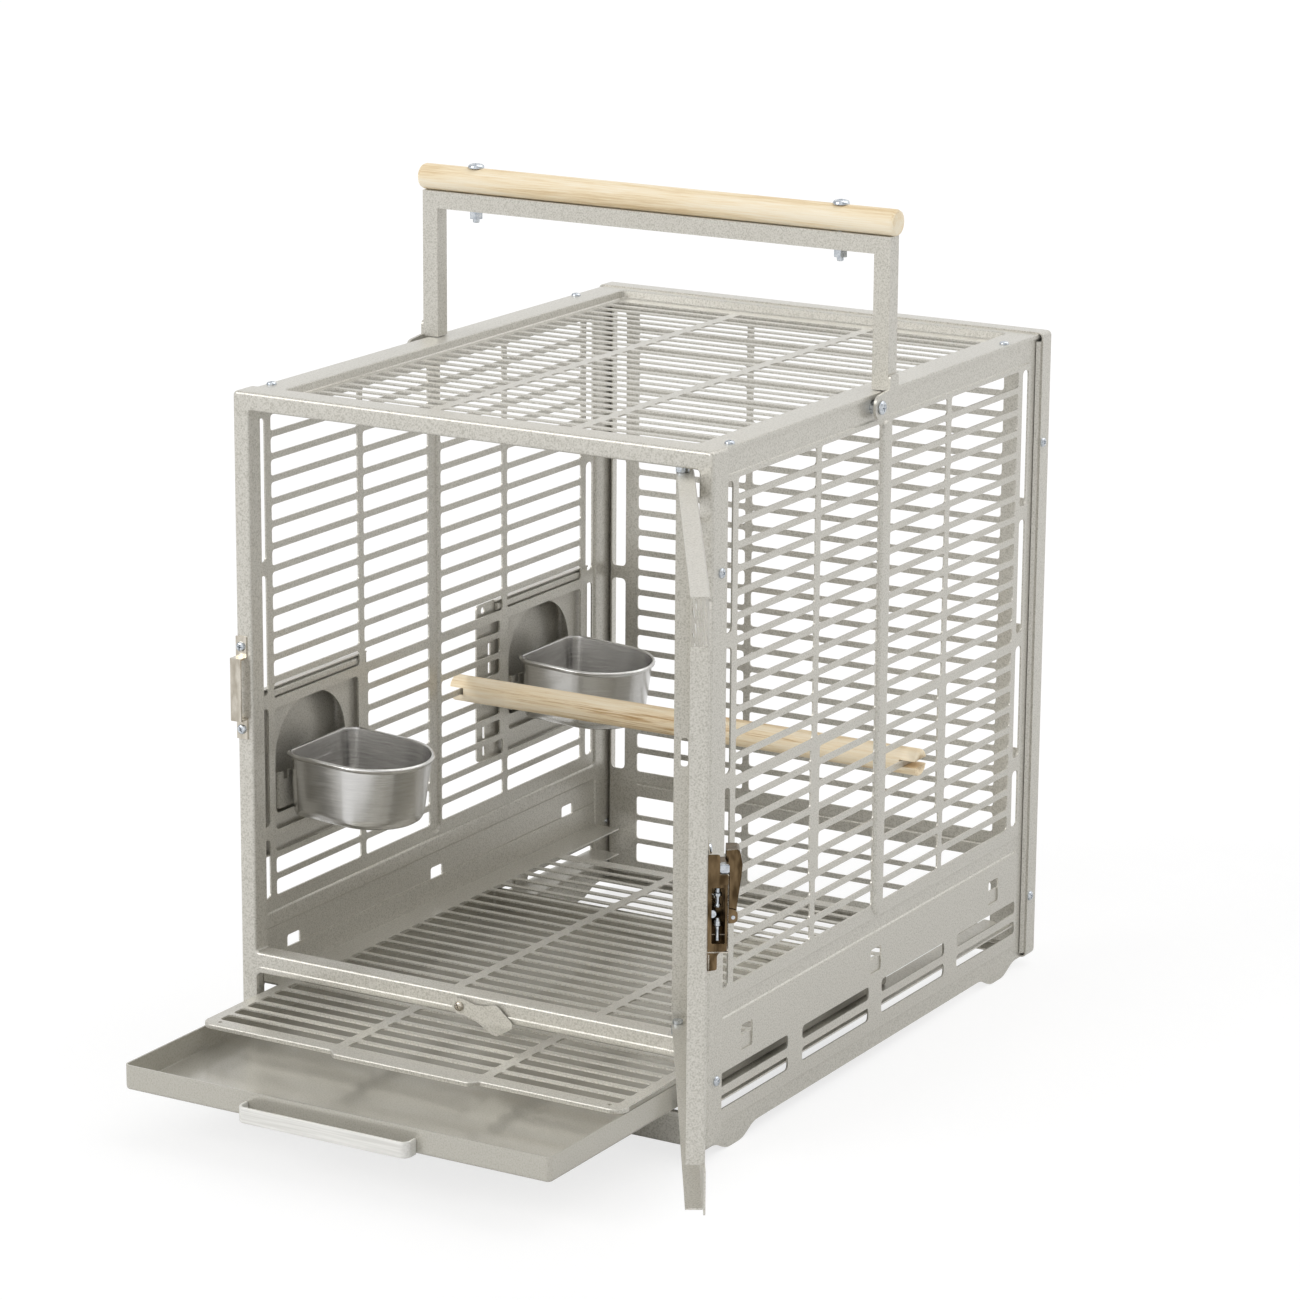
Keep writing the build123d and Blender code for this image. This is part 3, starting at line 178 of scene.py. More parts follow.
def moved_out(points, by):
    """An open line moved sideways, to its right as it is walked along."""
    line = [Vector(point) for point in points]
    result = []
    for i, here in enumerate(line):
        back = here - line[i - 1] if i else line[1] - here
        ahead = line[i + 1] - here if i + 1 < len(line) else back
        first = Vector((back.y, -back.x)).normalized()
        second = Vector((ahead.y, -ahead.x)).normalized()
        middle = (first + second).normalized()
        result.append(tuple(here + middle * (by / max(middle.dot(first), 0.5))))
    return result


def mirrored(spans, middle=0.0):
    """Spans on one side of a middle line, with their twins on the other side."""
    both = [(middle + near, middle + far) for near, far in spans]
    return both + [(middle - far, middle - near) for near, far in spans]


def folded_edge(radius, level, end):
    """A quarter-round bend in four points, then a straight return to the end level. Each point
    is how far it lies outside the return's outline, and its level. A bend at an outer edge has a
    negative radius."""
    way = math.copysign(radius, end - level)
    return [(radius, level), (radius * 0.5, level + way * 0.13), (radius * 0.13, level + way * 0.5),
            (0.0, level + way), (0.0, end)]


# Meshes


def ring(mesh, points):
    """Adds points of the drawing to a mesh."""
    return [mesh.verts.new(metres(point)) for point in points]


def bridge(mesh, rings, closed=True):
    """Adds walls between rings of a mesh, where a ring may be a single point."""
    for low, high in zip(rings, rings[1:]):
        count = max(len(low), len(high))
        for i in range(count if closed else count - 1):
            j = (i + 1) % count
            corners = (low[i % len(low)], low[j % len(low)], high[j % len(high)],
                       high[i % len(high)])
            mesh.faces.new(list(dict.fromkeys(corners)))


def add_prism(mesh, outlines):
    """Adds a closed body through outlines that have the same number of points."""
    rings = [ring(mesh, outline) for outline in outlines]
    bridge(mesh, rings)
    mesh.faces.new(rings[0])
    mesh.faces.new(rings[-1])


def mesh_object(name, mesh):
    """A new object from a bmesh."""
    data = bpy.data.meshes.new(name)
    mesh.to_mesh(data)
    mesh.free()
    obj = bpy.data.objects.new(name, data)
    bpy.context.scene.collection.objects.link(obj)
    return obj


def solid_object(name, mesh):
    """A new object from a closed bmesh, turned outward."""
    bmesh.ops.recalc_face_normals(mesh, faces=mesh.faces)
    return mesh_object(name, mesh)


def absorb(mesh, obj):
    """Adds an object's mesh to a bmesh and takes the object away."""
    mesh.from_mesh(obj.data)
    bpy.data.objects.remove(obj)


def applied(obj, smooth=SMOOTH):
    """Replaces an object's mesh by its mesh with all modifiers, smooth except at real edges."""
    graph = bpy.context.evaluated_depsgraph_get()
    mesh = bpy.data.meshes.new_from_object(obj.evaluated_get(graph))
    obj.modifiers.clear()
    obj.data = mesh
    mesh.polygons.foreach_set("use_smooth", [True] * len(mesh.polygons))
    mesh.set_sharp_from_angle(angle=math.radians(smooth))
    flat = obj.modifiers.new("flat faces", "WEIGHTED_NORMAL")
    flat.keep_sharp = True
    flat.weight = 90
    return obj


def cut_out(piece, tool, smooth=SMOOTH):
    """Cuts another object's shape out of a piece."""
    cut = piece.modifiers.new("cut", "BOOLEAN")
    cut.operation = "DIFFERENCE"
    cut.object = tool
    applied(piece, smooth)
    bpy.data.objects.remove(tool)


def lathe(name, rings, axis_matrix, sides=48):
    """A closed round body from (distance along, radius) rings. A radius of 0 is a point."""
    mesh = bmesh.new()
    spokes = [(math.cos(math.tau * k / sides), math.sin(math.tau * k / sides))
              for k in range(sides)]
    bridge(mesh, [ring(mesh, [axis_matrix @ Vector((radius * x, radius * y, along))
                              for x, y in (spokes if radius > 0.0 else spokes[:1])])
                  for along, radius in rings])
    return solid_object(name, mesh)


def along_x(x, y, z):
    """Turns a lathe's own axis to +X at a point."""
    return Matrix.Translation((x, y, z)) @ Matrix.Rotation(math.pi / 2, 4, "Y")


def settle(obj, body, material, slot, *nodes, rim=None):
    """Gives a piece its finish and its body, and hides the nodes it stands for."""
    marks = [face.material_index for face in obj.data.polygons]
    obj.data.materials.clear()
    obj.data.materials.append(material)
    if rim is not None:
        obj.data.materials.append(rim)
        obj.data.polygons.foreach_set("material_index", marks)
    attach(obj, body)
    if nodes:
        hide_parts(*nodes)
    return obj


def lying(x, y, z):
    """Places a sheet that is drawn from above."""
    return Vector((x, y, z))


def standing(x, z, y):
    """Places a sheet that is drawn from the front."""
    return Vector((x, y, z))


class Skin:
    """A thin sheet: flat regions, and walls between outlines at different levels."""

    def __init__(self, place):
        self.place = place
        self.mesh = bmesh.new()

    def ring(self, loop, level):
        """Adds an outline at a level."""
        return ring(self.mesh, [self.place(point[0], point[1], level) for point in loop])

    def region(self, level, outer, holes=()):
        """A level area with holes."""
        triangles_less_holes, nearness = 2, 1e-4
        points, rings = [], []
        for loop in [outer, *holes]:
            rings.append(list(range(len(points), len(points) + len(loop))))
            points += [Vector(point) for point in loop]
        result = delaunay_2d_cdt(points, [], rings, triangles_less_holes, nearness)
        verts = self.ring(result[0], level)
        for face in result[2]:
            self.mesh.faces.new([verts[i] for i in face])

    def wall(self, loops, closed=True):
        """A wall through outlines, each given with its level."""
        bridge(self.mesh, [self.ring(loop, level) for loop, level in loops], closed)

    def step(self, box, radius, stages, steps=4):
        """A wall round a rectangle through stages of growth and level."""
        self.wall([(box_loop(grow(box, by), radius + by, steps), level) for by, level in stages])

    def piece(self, name, outward, thick=SHEET, smooth=SMOOTH, rim=False):
        """Joins the parts, turns them outward and gives them the sheet's thickness. With a rim,
        the sheet's cut edges get a material slot of their own."""
        bmesh.ops.remove_doubles(self.mesh, verts=self.mesh.verts, dist=0.002 * MM)
        bmesh.ops.recalc_face_normals(self.mesh, faces=self.mesh.faces)
        if sum(face.normal.dot(outward) * face.calc_area() for face in self.mesh.faces) < 0:
            bmesh.ops.reverse_faces(self.mesh, faces=self.mesh.faces)
        obj = mesh_object(name, self.mesh)
        shell = obj.modifiers.new("sheet", "SOLIDIFY")
        shell.thickness = thick * MM
        shell.offset = -1.0
        shell.use_even_offset = True
        if rim:
            obj.data.materials.append(None)
            obj.data.materials.append(None)
            shell.material_offset_rim = 1
        return applied(obj, smooth)


# Materials


def linear(code):
    """An sRGB hex colour as linear red, green, blue and alpha."""
    parts = [int(code[i:i + 2], 16) / 255 for i in (1, 3, 5)]
    return [p / 12.92 if p <= 0.04045 else ((p + 0.055) / 1.055) ** 2.4 for p in parts] + [1.0]


def add(tree, kind, values=(), links=(), **settings):
    """Adds a node with its settings, its fixed sockets and what feeds its other sockets."""
    node = tree.nodes.new("ShaderNode" + kind)
    for name, value in settings.items():
        setattr(node, name, value)
    for socket, value in dict(values).items():
        node.inputs[socket].default_value = value
    for socket, source in dict(links).items():
        tree.links.new(source, node.inputs[socket])
    return node


def new_material(name):
    """An empty node material."""
    material = bpy.data.materials.new(name)
    material.use_nodes = True
    material.node_tree.nodes.clear()
    return material, material.node_tree


def surface(tree, values, links):
    """Ends a material in one Principled shader."""
    shader = add(tree, "BsdfPrincipled", values, links)
    add(tree, "OutputMaterial", links={"Surface": shader.outputs[0]})


def noise_at(tree, size_mm, stretch=(1, 1, 1), detail=3.0, rough=0.5):
    """Noise whose blobs are about this size. A stretch under 1 draws them longer on that axis."""
    spot = add(tree, "TexCoord").outputs["Object"]
    scale = 1000.0 / size_mm
    mapped = add(tree, "Mapping", {"Scale": [scale * s for s in stretch]}, {"Vector": spot})
    return add(tree, "TexNoise", {"Scale": 1.0, "Detail": detail, "Roughness": rough},
               {"Vector": mapped.outputs[0]}).outputs["Fac"]


def ramp(tree, fac, stops):
    """Colours or plain values mixed along a value."""
    node = add(tree, "ValToRGB", links={"Fac": fac})
    for _ in range(len(stops) - 2):
        node.color_ramp.elements.new(0.5)
    for element, (place, code) in zip(node.color_ramp.elements, stops):
        element.position = place
        element.color = linear(code) if isinstance(code, str) else [code] * 3 + [1.0]
    return node.outputs["Color"]


def bump(tree, height, depth_mm):
    """A bump of a real depth."""
    return add(tree, "Bump", {"Strength": 1.0, "Distance": depth_mm * MM},
               {"Height": height}).outputs[0]


def powder_coated_steel(name, colours, rough, spread, dimple_mm):
    """Hammertone powder coat on steel: silver-grey with aluminium flake in it, so it is a little
    metallic, with dimples about two millimetres wide and darker grains where the film is thin.
    Its roughness rises by the spread from the low to the high places."""
    material, tree = new_material(name)
    dimples = noise_at(tree, 2.2, detail=1.5)
    grains = noise_at(tree, 1.1, detail=2.0)
    tone = ramp(tree, grains, list(zip((0.34, 0.47, 0.64), colours)))
    shine = ramp(tree, dimples, [(0.35, rough), (0.65, rough + spread)])
    surface(tree, {"Metallic": 0.40, "IOR": 1.5, "Coat Weight": 0.12, "Coat Roughness": 0.3},
            {"Base Color": tone, "Roughness": shine, "Normal": bump(tree, dimples, dimple_mm)})
    return material


def satin_coated_steel():
    """Smooth satin powder coat on the tray's grip: pale silver with faint lengthwise streaks."""
    material, tree = new_material("satin_powder_coated_steel")
    streaks = noise_at(tree, 1.4, (0.03, 1.0, 1.0), detail=2.0)
    tone = ramp(tree, streaks, [(0.35, "#D9D8D3"), (0.65, "#EAE9E5")])
    surface(tree, {"Metallic": 0.25, "IOR": 1.5},
            {"Base Color": tone, "Roughness": ramp(tree, streaks, [(0.3, 0.34), (0.7, 0.46)])})
    return material


def zinc_plated_steel():
    """Bright zinc plate: cool, slightly blue silver, a little uneven."""
    material, tree = new_material("zinc_plated_steel")
    cloud = noise_at(tree, 2.0)
    surface(tree, {"Metallic": 1.0},
            {"Base Color": ramp(tree, cloud, [(0.3, "#A7AEB6"), (0.7, "#DCE0E4")]),
             "Roughness": ramp(tree, cloud, [(0.3, 0.16), (0.7, 0.30)])})
    return material


def nickel_plated_steel(name, dark, pale):
    """Nickel plate over stamped steel: a warm mirror with faint draw marks up its height."""
    material, tree = new_material(name)
    marks = noise_at(tree, 4.0, (1.0, 1.0, 0.35), detail=2.0)
    surface(tree, {"Metallic": 1.0}, {"Base Color": ramp(tree, marks, [(0.3, dark), (0.7, pale)]),
                                      "Roughness": ramp(tree, marks, [(0.3, 0.10), (0.7, 0.18)])})
    return material


def brushed_stainless_steel():
    """Drawn stainless steel with a satin brushing that runs round the cup. Real brushing is too
    fine to show, so it is drawn 0.8 mm wide."""
    material, tree = new_material("brushed_stainless_steel")
    grain = noise_at(tree, 0.8, (0.05, 0.05, 1.0))
    surface(tree, {"Metallic": 1.0, "Anisotropic": 0.3},
            {"Base Color": ramp(tree, grain, [(0.3, "#D4D3D1"), (0.7, "#E4E3E1")]),
             "Roughness": ramp(tree, grain, [(0.3, 0.20), (0.7, 0.27)]),
             "Normal": bump(tree, grain, 0.004)})
    return material


def sanded_pine(name, pale, mid, dark):
    """Sanded pine dowel: long soft growth bands along X, with fibres between them. Real fibres
    are too fine to show, so they are drawn 0.9 mm wide."""
    material, tree = new_material(name)
    bands = noise_at(tree, 9.0, (0.05, 1.0, 1.0), rough=0.6)
    fibres = noise_at(tree, 0.9, (0.03, 1.0, 1.0), detail=4.0, rough=0.7)
    mixed = add(tree, "Mix", {"Factor": 0.45}, {"A": bands, "B": fibres}, data_type="FLOAT")
    tone = ramp(tree, mixed.outputs[0], [(0.38, dark), (0.47, mid), (0.58, pale)])
    surface(tree, {"Roughness": 0.62, "IOR": 1.5},
            {"Base Color": tone, "Normal": bump(tree, fibres, 0.03)})
    return material


COAT = powder_coated_steel("hammertone_powder_coated_steel", ("#B4B1A7", "#C8C5BC", "#D3D0C8"),
                           rough=0.28, spread=0.12, dimple_mm=0.035)
TRAY_COAT = powder_coated_steel("smooth_powder_coated_steel", ("#B3B0A6", "#BDBAB0", "#C2BFB6"),
                                rough=0.20, spread=0.03, dimple_mm=0.002)
ZINC = zinc_plated_steel()
NICKEL = nickel_plated_steel("nickel_plated_steel", "#B4AC9E", "#D8D2C6")
SMOKED = nickel_plated_steel("smoked_nickel_plated_steel", "#463826", "#7F6B50")
SATIN = satin_coated_steel()
STAINLESS = brushed_stainless_steel()
GRIP_PINE = sanded_pine("sanded_pine_grip", "#F5EAD3", "#EFDDBB", "#DCC298")
PERCH_PINE = sanded_pine("sanded_pine_perch", "#FAECD2", "#F0DBB6", "#C19A66")
FINISHES = {"powder_coat": COAT, "zinc": ZINC, "nickel": NICKEL, "stainless": STAINLESS,
            "grip_wood": GRIP_PINE, "perch_wood": PERCH_PINE}


# Body


def side_rows():
    """Slot rows of a side grille, with the one thick bar above the feeders."""
    rows = [list(row) for row in slot_rows(FIRST, ROW, ROWS)]
    above = FEEDER_ROWS.stop
    rows[above - 1][1] -= 2.4
    rows[above][0] += 0.4
    return rows


def narrow_rows(low, high):
    """Tall narrow slots at a panel's edge, split at three cross bars."""
    ends = [low]
    for row in (3, 9, 15):
        bar = FIRST + row * ROW
        ends += [bar - 5.0, bar + 5.0]
    ends.append(high - 0.6)
    return list(zip(ends[0::2], ends[1::2]))


def side_slots(feeders):
    """All slots of a side panel's raised grille field."""
    rows = side_rows()
    feeder_rows = rows[FEEDER_ROWS]
    other_rows = rows[:FEEDER_ROWS.start] + rows[FEEDER_ROWS.stop:]
    slots = grid_slots(mirrored([(8.25, 95.5), (102.0, 211.8)], MID), other_rows)
    slots += grid_slots(mirrored([(8.25, 91.5)], MID), feeder_rows)
    outer = mirrored([(103.8, 211.8)], MID)
    if feeders:
        slots += [box_loop((left, feeder_rows[0][0], right, feeder_rows[-1][1]), 4.0)
                  for left, right in outer]
    else:
        slots += grid_slots(outer, feeder_rows)
    slots += grid_slots(mirrored([(219.0, 229.0)], MID), narrow_rows(FIRST, rows[-1][1]), 3.6)
    return slots


def side_outline():
    """Side panel's outline with its two foot lobes."""
    low, high = FRONT + 2 * SHEET, BACK - 2 * SHEET
    top = FRAME_TOP - 2 * SHEET
    points, radii = [(low, PANEL_LOW)], [0.0]
    for centre in (MID - 204.5, MID + 204.5):
        points += [(centre - 27.5, PANEL_LOW), (centre - 11.0, 0.0), (centre + 11.0, 0.0),
                   (centre + 27.5, PANEL_LOW)]
        radii += [24.0] * 4
    points += [(high, PANEL_LOW), (high, HEM_LOW), (high, HEM_TOP), (high, top),
               (BACK - LIP_END, top), (FRONT + LIP_END, top), (low, top), (low, HEM_TOP),
               (low, HEM_LOW)]
    radii += [0.0] * 9
    return rounded(points, radii, 5)


def side_panel(side):
    """Pressed side: raised grille and skirt fields, centre rib, folded hems and top lip."""
    skin = Skin(lambda y, z, x: Vector((side * x, y, z)))
    grille = (MID - 233.75, 107.0, MID + 233.75, 478.6)
    skirt = (MID - 233.75, 20.0, MID + 233.75, 98.0)
    rib_half = 7.4
    rib = (MID - rib_half, 110.0, MID + rib_half, 475.6)
    base, field, crest = SIDE_OUT, SIDE_OUT + RAISE, SIDE_OUT + RAISE + RIB_RAISE
    corner, slope = 5.0, 1.7
    stages = [(0.0, base), (-0.5, base + 0.25), (-1.1, field - 0.25), (-slope, field)]
    skin.region(base, side_outline(), [box_loop(box, corner) for box in (grille, skirt)])
    for box in (grille, skirt):
        skin.step(box, corner, stages)
    skin.region(field, box_loop(grow(grille, -slope), corner - slope),
                side_slots(side < 0) + [box_loop(rib, rib_half)])
    skin.step(rib, rib_half, [(0.0, field), (-0.4, field + 0.5), (-1.0, crest - 0.6),
                              (-2.2, crest)])
    skin.region(crest, box_loop(grow(rib, -2.2), rib_half - 2.2))
    levels = [(31.8, 41.8), (48.0, 58.0)]
    holes = grid_slots(mirrored([(10.0, 110.5), (131.5, 229.5)], MID), levels, 3.0)
    for centre in (-191.4, 0.0, 191.4):
        hook = (MID + centre - 8.15, 66.5, MID + centre + 8.15, 85.0)
        holes.append(box_loop(hook, 2.0))
    skin.region(field, box_loop(grow(skirt, -slope), corner - slope), holes)
    far = HALF - 2 * SHEET
    for end, way in ((FRONT + 2 * SHEET, 1), (BACK - 2 * SHEET, -1)):
        fold = [(end + 16.2 * way, base + 0.1), (end + 15.0 * way, far), (end + 0.6 * way, far),
                (end, far - 0.6), (end, base)]
        bridge(skin.mesh, [ring(skin.mesh, [skin.place(y, z, x) for y, x in fold])
                           for z in (HEM_LOW, HEM_TOP)], False)
    rear, fore, inner = BACK - LIP_END, FRONT + LIP_END, base - 18.2
    lip = [(rear, base), (fore, base), (fore, inner), (rear, inner)]
    skin.mesh.faces.new(ring(skin.mesh, [skin.place(y, FRAME_TOP - 2 * SHEET, x) for y, x in lip]))
    name = "right_side_panel" if side > 0 else "left_side_panel"
    panel = skin.piece(name + "_pressing", Vector((side, 0, 0)))
    return settle(panel, "cage", COAT, "powder_coat", name)


def front_frame():
    """Pressed front: folded outer edges, returned door opening, embossed tray slot."""
    skin = Skin(standing)
    outer = (-HALF, FRAME_LOW, HALF, FRAME_TOP)
    inside = 2.0
    skin.step(outer, FOLD + 1.2, folded_edge(-FOLD, FRONT, FRONT + 20.0))
    skin.step(OPENING, inside, folded_edge(inside, FRONT, FRONT + RETURN))
    lip = [(5.0, FRONT), (4.2, FRONT - 0.6), (1.4, FRONT - 0.6), (0.4, FRONT), (0.0, FRONT + 1.6),
           (0.0, FRONT + 2.6)]
    skin.step(SLOT, 4.0, lip, 5)
    skin.region(FRONT, box_loop(grow(outer, -FOLD), 1.2),
                [box_loop(grow(OPENING, inside), 2 * inside), box_loop(grow(SLOT, 5.0), 9.0, 5)])
    panel = skin.piece("front_frame_pressing", Vector((0, -1, 0)))
    return settle(panel, "cage", COAT, "powder_coat", "front_frame")


def back_panel():
    """Pressed back: folded edges, deep recess, three columns of slots and a raised bead."""
    skin = Skin(standing)
    outer = (-HALF, PANEL_LOW, HALF, FRAME_TOP)
    skin.step(outer, FOLD + 1.2, folded_edge(-FOLD, BACK, BACK - 16.0))
    recess = (-185.4, 15.2, 185.4, 489.0)
    field = BACK - 10.0
    skin.step(recess, 4.0, [(1.0, BACK), (0.2, BACK - 0.8), (-0.6, field + 1.2), (-1.8, field)])
    skin.region(BACK, box_loop(grow(outer, -FOLD), 1.2), [box_loop(grow(recess, 1.0), 5.0)])
    low = 103.0
    rows = [(low, 118.5)] + slot_rows(123.1, ROW, ROWS)
    top = rows[-1][1]
    rows += [(27.0, 42.6), (46.7, 62.3), (66.4, 82.0)]
    holes = grid_slots(mirrored([(62.0, 159.5)]) + [(-56.5, 56.5)], rows)
    holes += grid_slots(mirrored([(170.7, 183.2)]), narrow_rows(low, top), 3.6)
    bead = (-159.5, 90.6, 159.5, 94.4)
    holes.append(box_loop(bead, 1.8))
    skin.region(field, box_loop(grow(recess, -1.8), 2.2), holes)
    skin.step(bead, 1.8, [(0.0, field), (-0.8, field + 0.7), (-1.3, field + 0.8)])
    skin.region(field + 0.8, box_loop(grow(bead, -1.3), 0.5))
    panel = skin.piece("back_panel_pressing", Vector((0, 1, 0)))
    return settle(panel, "cage", COAT, "powder_coat", "back_panel")


def top_panel():
    """Pressed top: folded side edges and a recessed grille."""
    skin = Skin(lying)
    high = FRAME_TOP - SHEET
    field = high - 6.2
    outer = (-190.1, FRONT + 2.4, 190.1, BACK - 2.4)
    recess = (-166.8, FRONT + 25.2, 166.8, FRONT + 488.8)
    skin.step(outer, 2.0, [(-1.2, high), (-0.35, high - 0.35), (0.0, high - 1.2),
                           (0.0, high - 3.0)])
    skin.step(recess, 4.0, [(1.2, high), (0.3, high - 0.6), (-0.6, field + 0.8), (-1.6, field)])
    skin.region(high, box_loop(grow(outer, -1.2), 0.8), [box_loop(grow(recess, 1.2), 5.2)])
    rows = slot_rows(FRONT + 46.0, 16.65, 26)
    skin.region(field, box_loop(grow(recess, -1.6), 2.4),
                grid_slots(mirrored([(61.5, 161.0)]) + [(-53.5, 53.5)], rows))
    panel = skin.piece("top_panel_pressing", Vector((0, 0, 1)))
    return settle(panel, "cage", COAT, "powder_coat", "top_panel")


# Door


def opened(x, y, z):
    """A point of the closed door, turned to the open position."""
    turned = Matrix.Rotation(math.radians(DOOR_ANGLE), 3, "Z") @ (Vector((x, y, z)) - HINGE)
    return turned + HINGE


def door_way(x, y):
    """A direction of the closed door, turned to the open position."""
    return opened(x, y, 0) - opened(0, 0, 0)


def door_front(x, z, y):
    """Places a sheet that is drawn from the closed door's front."""
    return opened(x, y, z)


def door_panel():
    """Pressed door: rows of slots, edges folded inward, corner notches and stop tabs."""
    skin = Skin(door_front)
    free, heel = HINGE.x - DOOR_WIDTH, HINGE.x + DOOR_HEEL
    face = HINGE.y - DOOR_FACE
    inner = face + DOOR_PAN
    notch, reach, r = 30.0, 14.0, 1.6
    bar, margin, border = 6.5, 14.0, 16.0
    first, last = free + margin, heel - margin
    width = (last - first - 2 * bar) / 3
    low = DOOR_LOW + border
    pitch = (DOOR_TOP - border - low + ROW - SLOT_HIGH) / ROWS
    height = pitch - (ROW - SLOT_HIGH)
    holes = []
    for n in range(ROWS):
        z = low + n * pitch
        beside_latch = z < LATCH_MID + LATCH_REACH and z + height > LATCH_MID - LATCH_REACH
        for column in range(3):
            left = first + column * (width + bar)
            right = left + width
            if column == 0 and beside_latch:
                left = free + 42.0
            holes.append(box_loop((left, z, right, z + height), SLOT_ROUND, 3))
    tab = free - reach
    outline = [(free + r, DOOR_LOW + r), (heel - r, DOOR_LOW + r), (heel - r, DOOR_TOP - r),
               (free + r, DOOR_TOP - r), (tab, DOOR_TOP - r), (tab, DOOR_TOP - notch),
               (free + r, DOOR_TOP - notch), (free + r, DOOR_LOW + notch), (tab, DOOR_LOW + notch),
               (tab, DOOR_LOW + r)]
    radii = [0.0, 0.6, 0.6, 0.0, 3.0, 3.0, 0.0, 0.0, 3.0, 3.0]
    skin.region(face, rounded(outline, radii), holes)
    bend = folded_edge(r, face, inner)
    hoop = [(free + r, DOOR_LOW), (heel, DOOR_LOW), (heel, DOOR_TOP), (free + r, DOOR_TOP)]
    skin.wall([([(min(x, heel - by), min(max(z, DOOR_LOW + by), DOOR_TOP - by)) for x, z in hoop],
                y) for by, y in bend[:4]], False)
    for run in (hoop[:2], hoop[2:]):
        skin.wall([(run, y) for y in (face + r, inner)], False)
    skin.place = lambda depth, z, x: opened(x, face + depth, z)
    pull = box_loop((2.3, 275.5, 7.3, 295.8), 2.0)
    edge = [(r, DOOR_LOW), (DOOR_PAN, DOOR_LOW), (DOOR_PAN, DOOR_TOP), (r, DOOR_TOP)]
    skin.region(heel, edge, [pull])
    skin.place = door_front
    skin.wall([([(free + by, z) for z in (DOOR_TOP - notch, DOOR_LOW + notch)], y)
               for by, y in bend], False)
    panel = skin.piece("door_panel_pressing", door_way(0, -1))
    return settle(panel, "door", COAT, "powder_coat", "door_panel")


def latch_point(x, out, up):
    """A point of the latch: along the closed door, out of its face and above the latch's middle."""
    return opened(x, HINGE.y - DOOR_FACE - out, LATCH_MID + up)


def latch_end(out, up, x):
    """Places a latch sheet that is drawn from the door's free edge."""
    return latch_point(x, out, up)


def latch_housing():
    """Nickel housing: stamped end plate with a window, crest, stepped feet and lever ears."""
    skin = Skin(latch_end)
    plate = [(0.0, -36.2), (5.9, -35.4), (5.9, -25.0), (CREST, -22.6), (CREST, 25.2), (7.2, 25.2),
             (7.2, LATCH_REACH), (0.0, LATCH_REACH)]
    window = (2.4, -18.8, 10.6, 16.6)
    skin.region(LATCH_LEFT, rounded(plate, [0.4, 1.6, 3.4, 2.4, 1.6, 0.6, 1.4, 0.4], 5),
                [box_loop(window, 0.8)])
    cover = [(0.3, 18.6), (CREST - 0.2, 18.6), (CREST - 0.2, 25.0), (7.0, 25.0), (7.0, 37.3),
             (0.3, 37.3)]
    skin.region(LATCH_LEFT - 0.5, rounded(cover, [0.6, 1.2, 1.0, 0.6, 1.2, 0.4], 4))
    skin.place = lambda x, up, out: latch_point(x, out, up)
    right = LATCH_LEFT + LATCH_LONG
    skin.region(CREST, box_loop((LATCH_LEFT, -23.8, right, 25.2), 0.8))
    for low, high in ((-LATCH_REACH, -24.4), (25.8, LATCH_REACH)):
        skin.region(1.3, box_loop((LATCH_LEFT, low, right, high), 1.2))
    skin.place = latch_point
    for up in (-23.8, 25.2):
        skin.region(up, [(LATCH_LEFT, 0.0), (right, 0.0), (right, CREST), (LATCH_LEFT, CREST)])
    skin.place = latch_end
    ear = [(CREST - 1.0, -9.0), (18.6, -8.6), (18.6, -0.6), (CREST - 1.0, 0.5)]
    for x in (-165.6, -148.4):
        skin.region(x, rounded(ear, [0.3, 3.2, 3.2, 0.3], 4))
    skin.region(right - 2.6, [(0.0, -23.4), (CREST, -23.4), (CREST, 24.8), (0.0, 24.8)],
                [box_loop((0.2, -2.6, 5.4, 2.6), 2.59)])
    way = door_way(-1, 0) + Vector((0, 0, 0.01))
    housing = skin.piece("latch_body_stamping", way, 0.8, SMOOTH_STAMPED, rim=True)
    return settle(housing, "door", SMOKED, "nickel", "latch_body", rim=NICKEL)


def latch_spindle():
    """Turned spindle behind the window, above and below the bolt, and the square nut on top."""
    mesh = bmesh.new()
    upper = [(3.4, 0.0), (3.4, 1.6), (4.6, 2.2), (5.8, 1.3), (10.0, 1.3), (10.6, 2.5),
             (12.4, 2.5), (12.8, 1.7), (15.4, 1.7), (15.4, 0.0)]
    lower = [(-17.6, 0.0), (-17.6, 1.5), (-12.0, 1.1), (-8.8, 1.6), (-8.2, 2.3), (-5.4, 2.3),
             (-4.6, 1.6), (-3.4, 1.4), (-3.4, 0.0)]
    base = Matrix.Translation(latch_point(LATCH_LEFT + 4.4, 6.2, 0.0))
    for rings in (upper, lower):
        absorb(mesh, lathe("spindle", rings, base, 20))
    nut = bmesh.new()
    bmesh.ops.create_cube(nut, size=1.0)
    place = Matrix.Translation(metres(latch_point(LATCH_LEFT + 3.6, 10.2, 28.2)))
    turn = Matrix.Rotation(math.radians(DOOR_ANGLE), 4, "Z")
    shape = Matrix.Diagonal((6.2 * MM, 5.6 * MM, 5.6 * MM, 1.0))
    bmesh.ops.transform(nut, matrix=place @ turn @ shape, verts=nut.verts)
    bmesh.ops.bevel(nut, geom=nut.edges[:], offset=0.7 * MM, segments=2, affect="EDGES")
    absorb(mesh, mesh_object("nut", nut))
    piece = applied(mesh_object("latch_spindle", mesh), SMOOTH_TURNED)
    return settle(piece, "door", ZINC, "zinc")


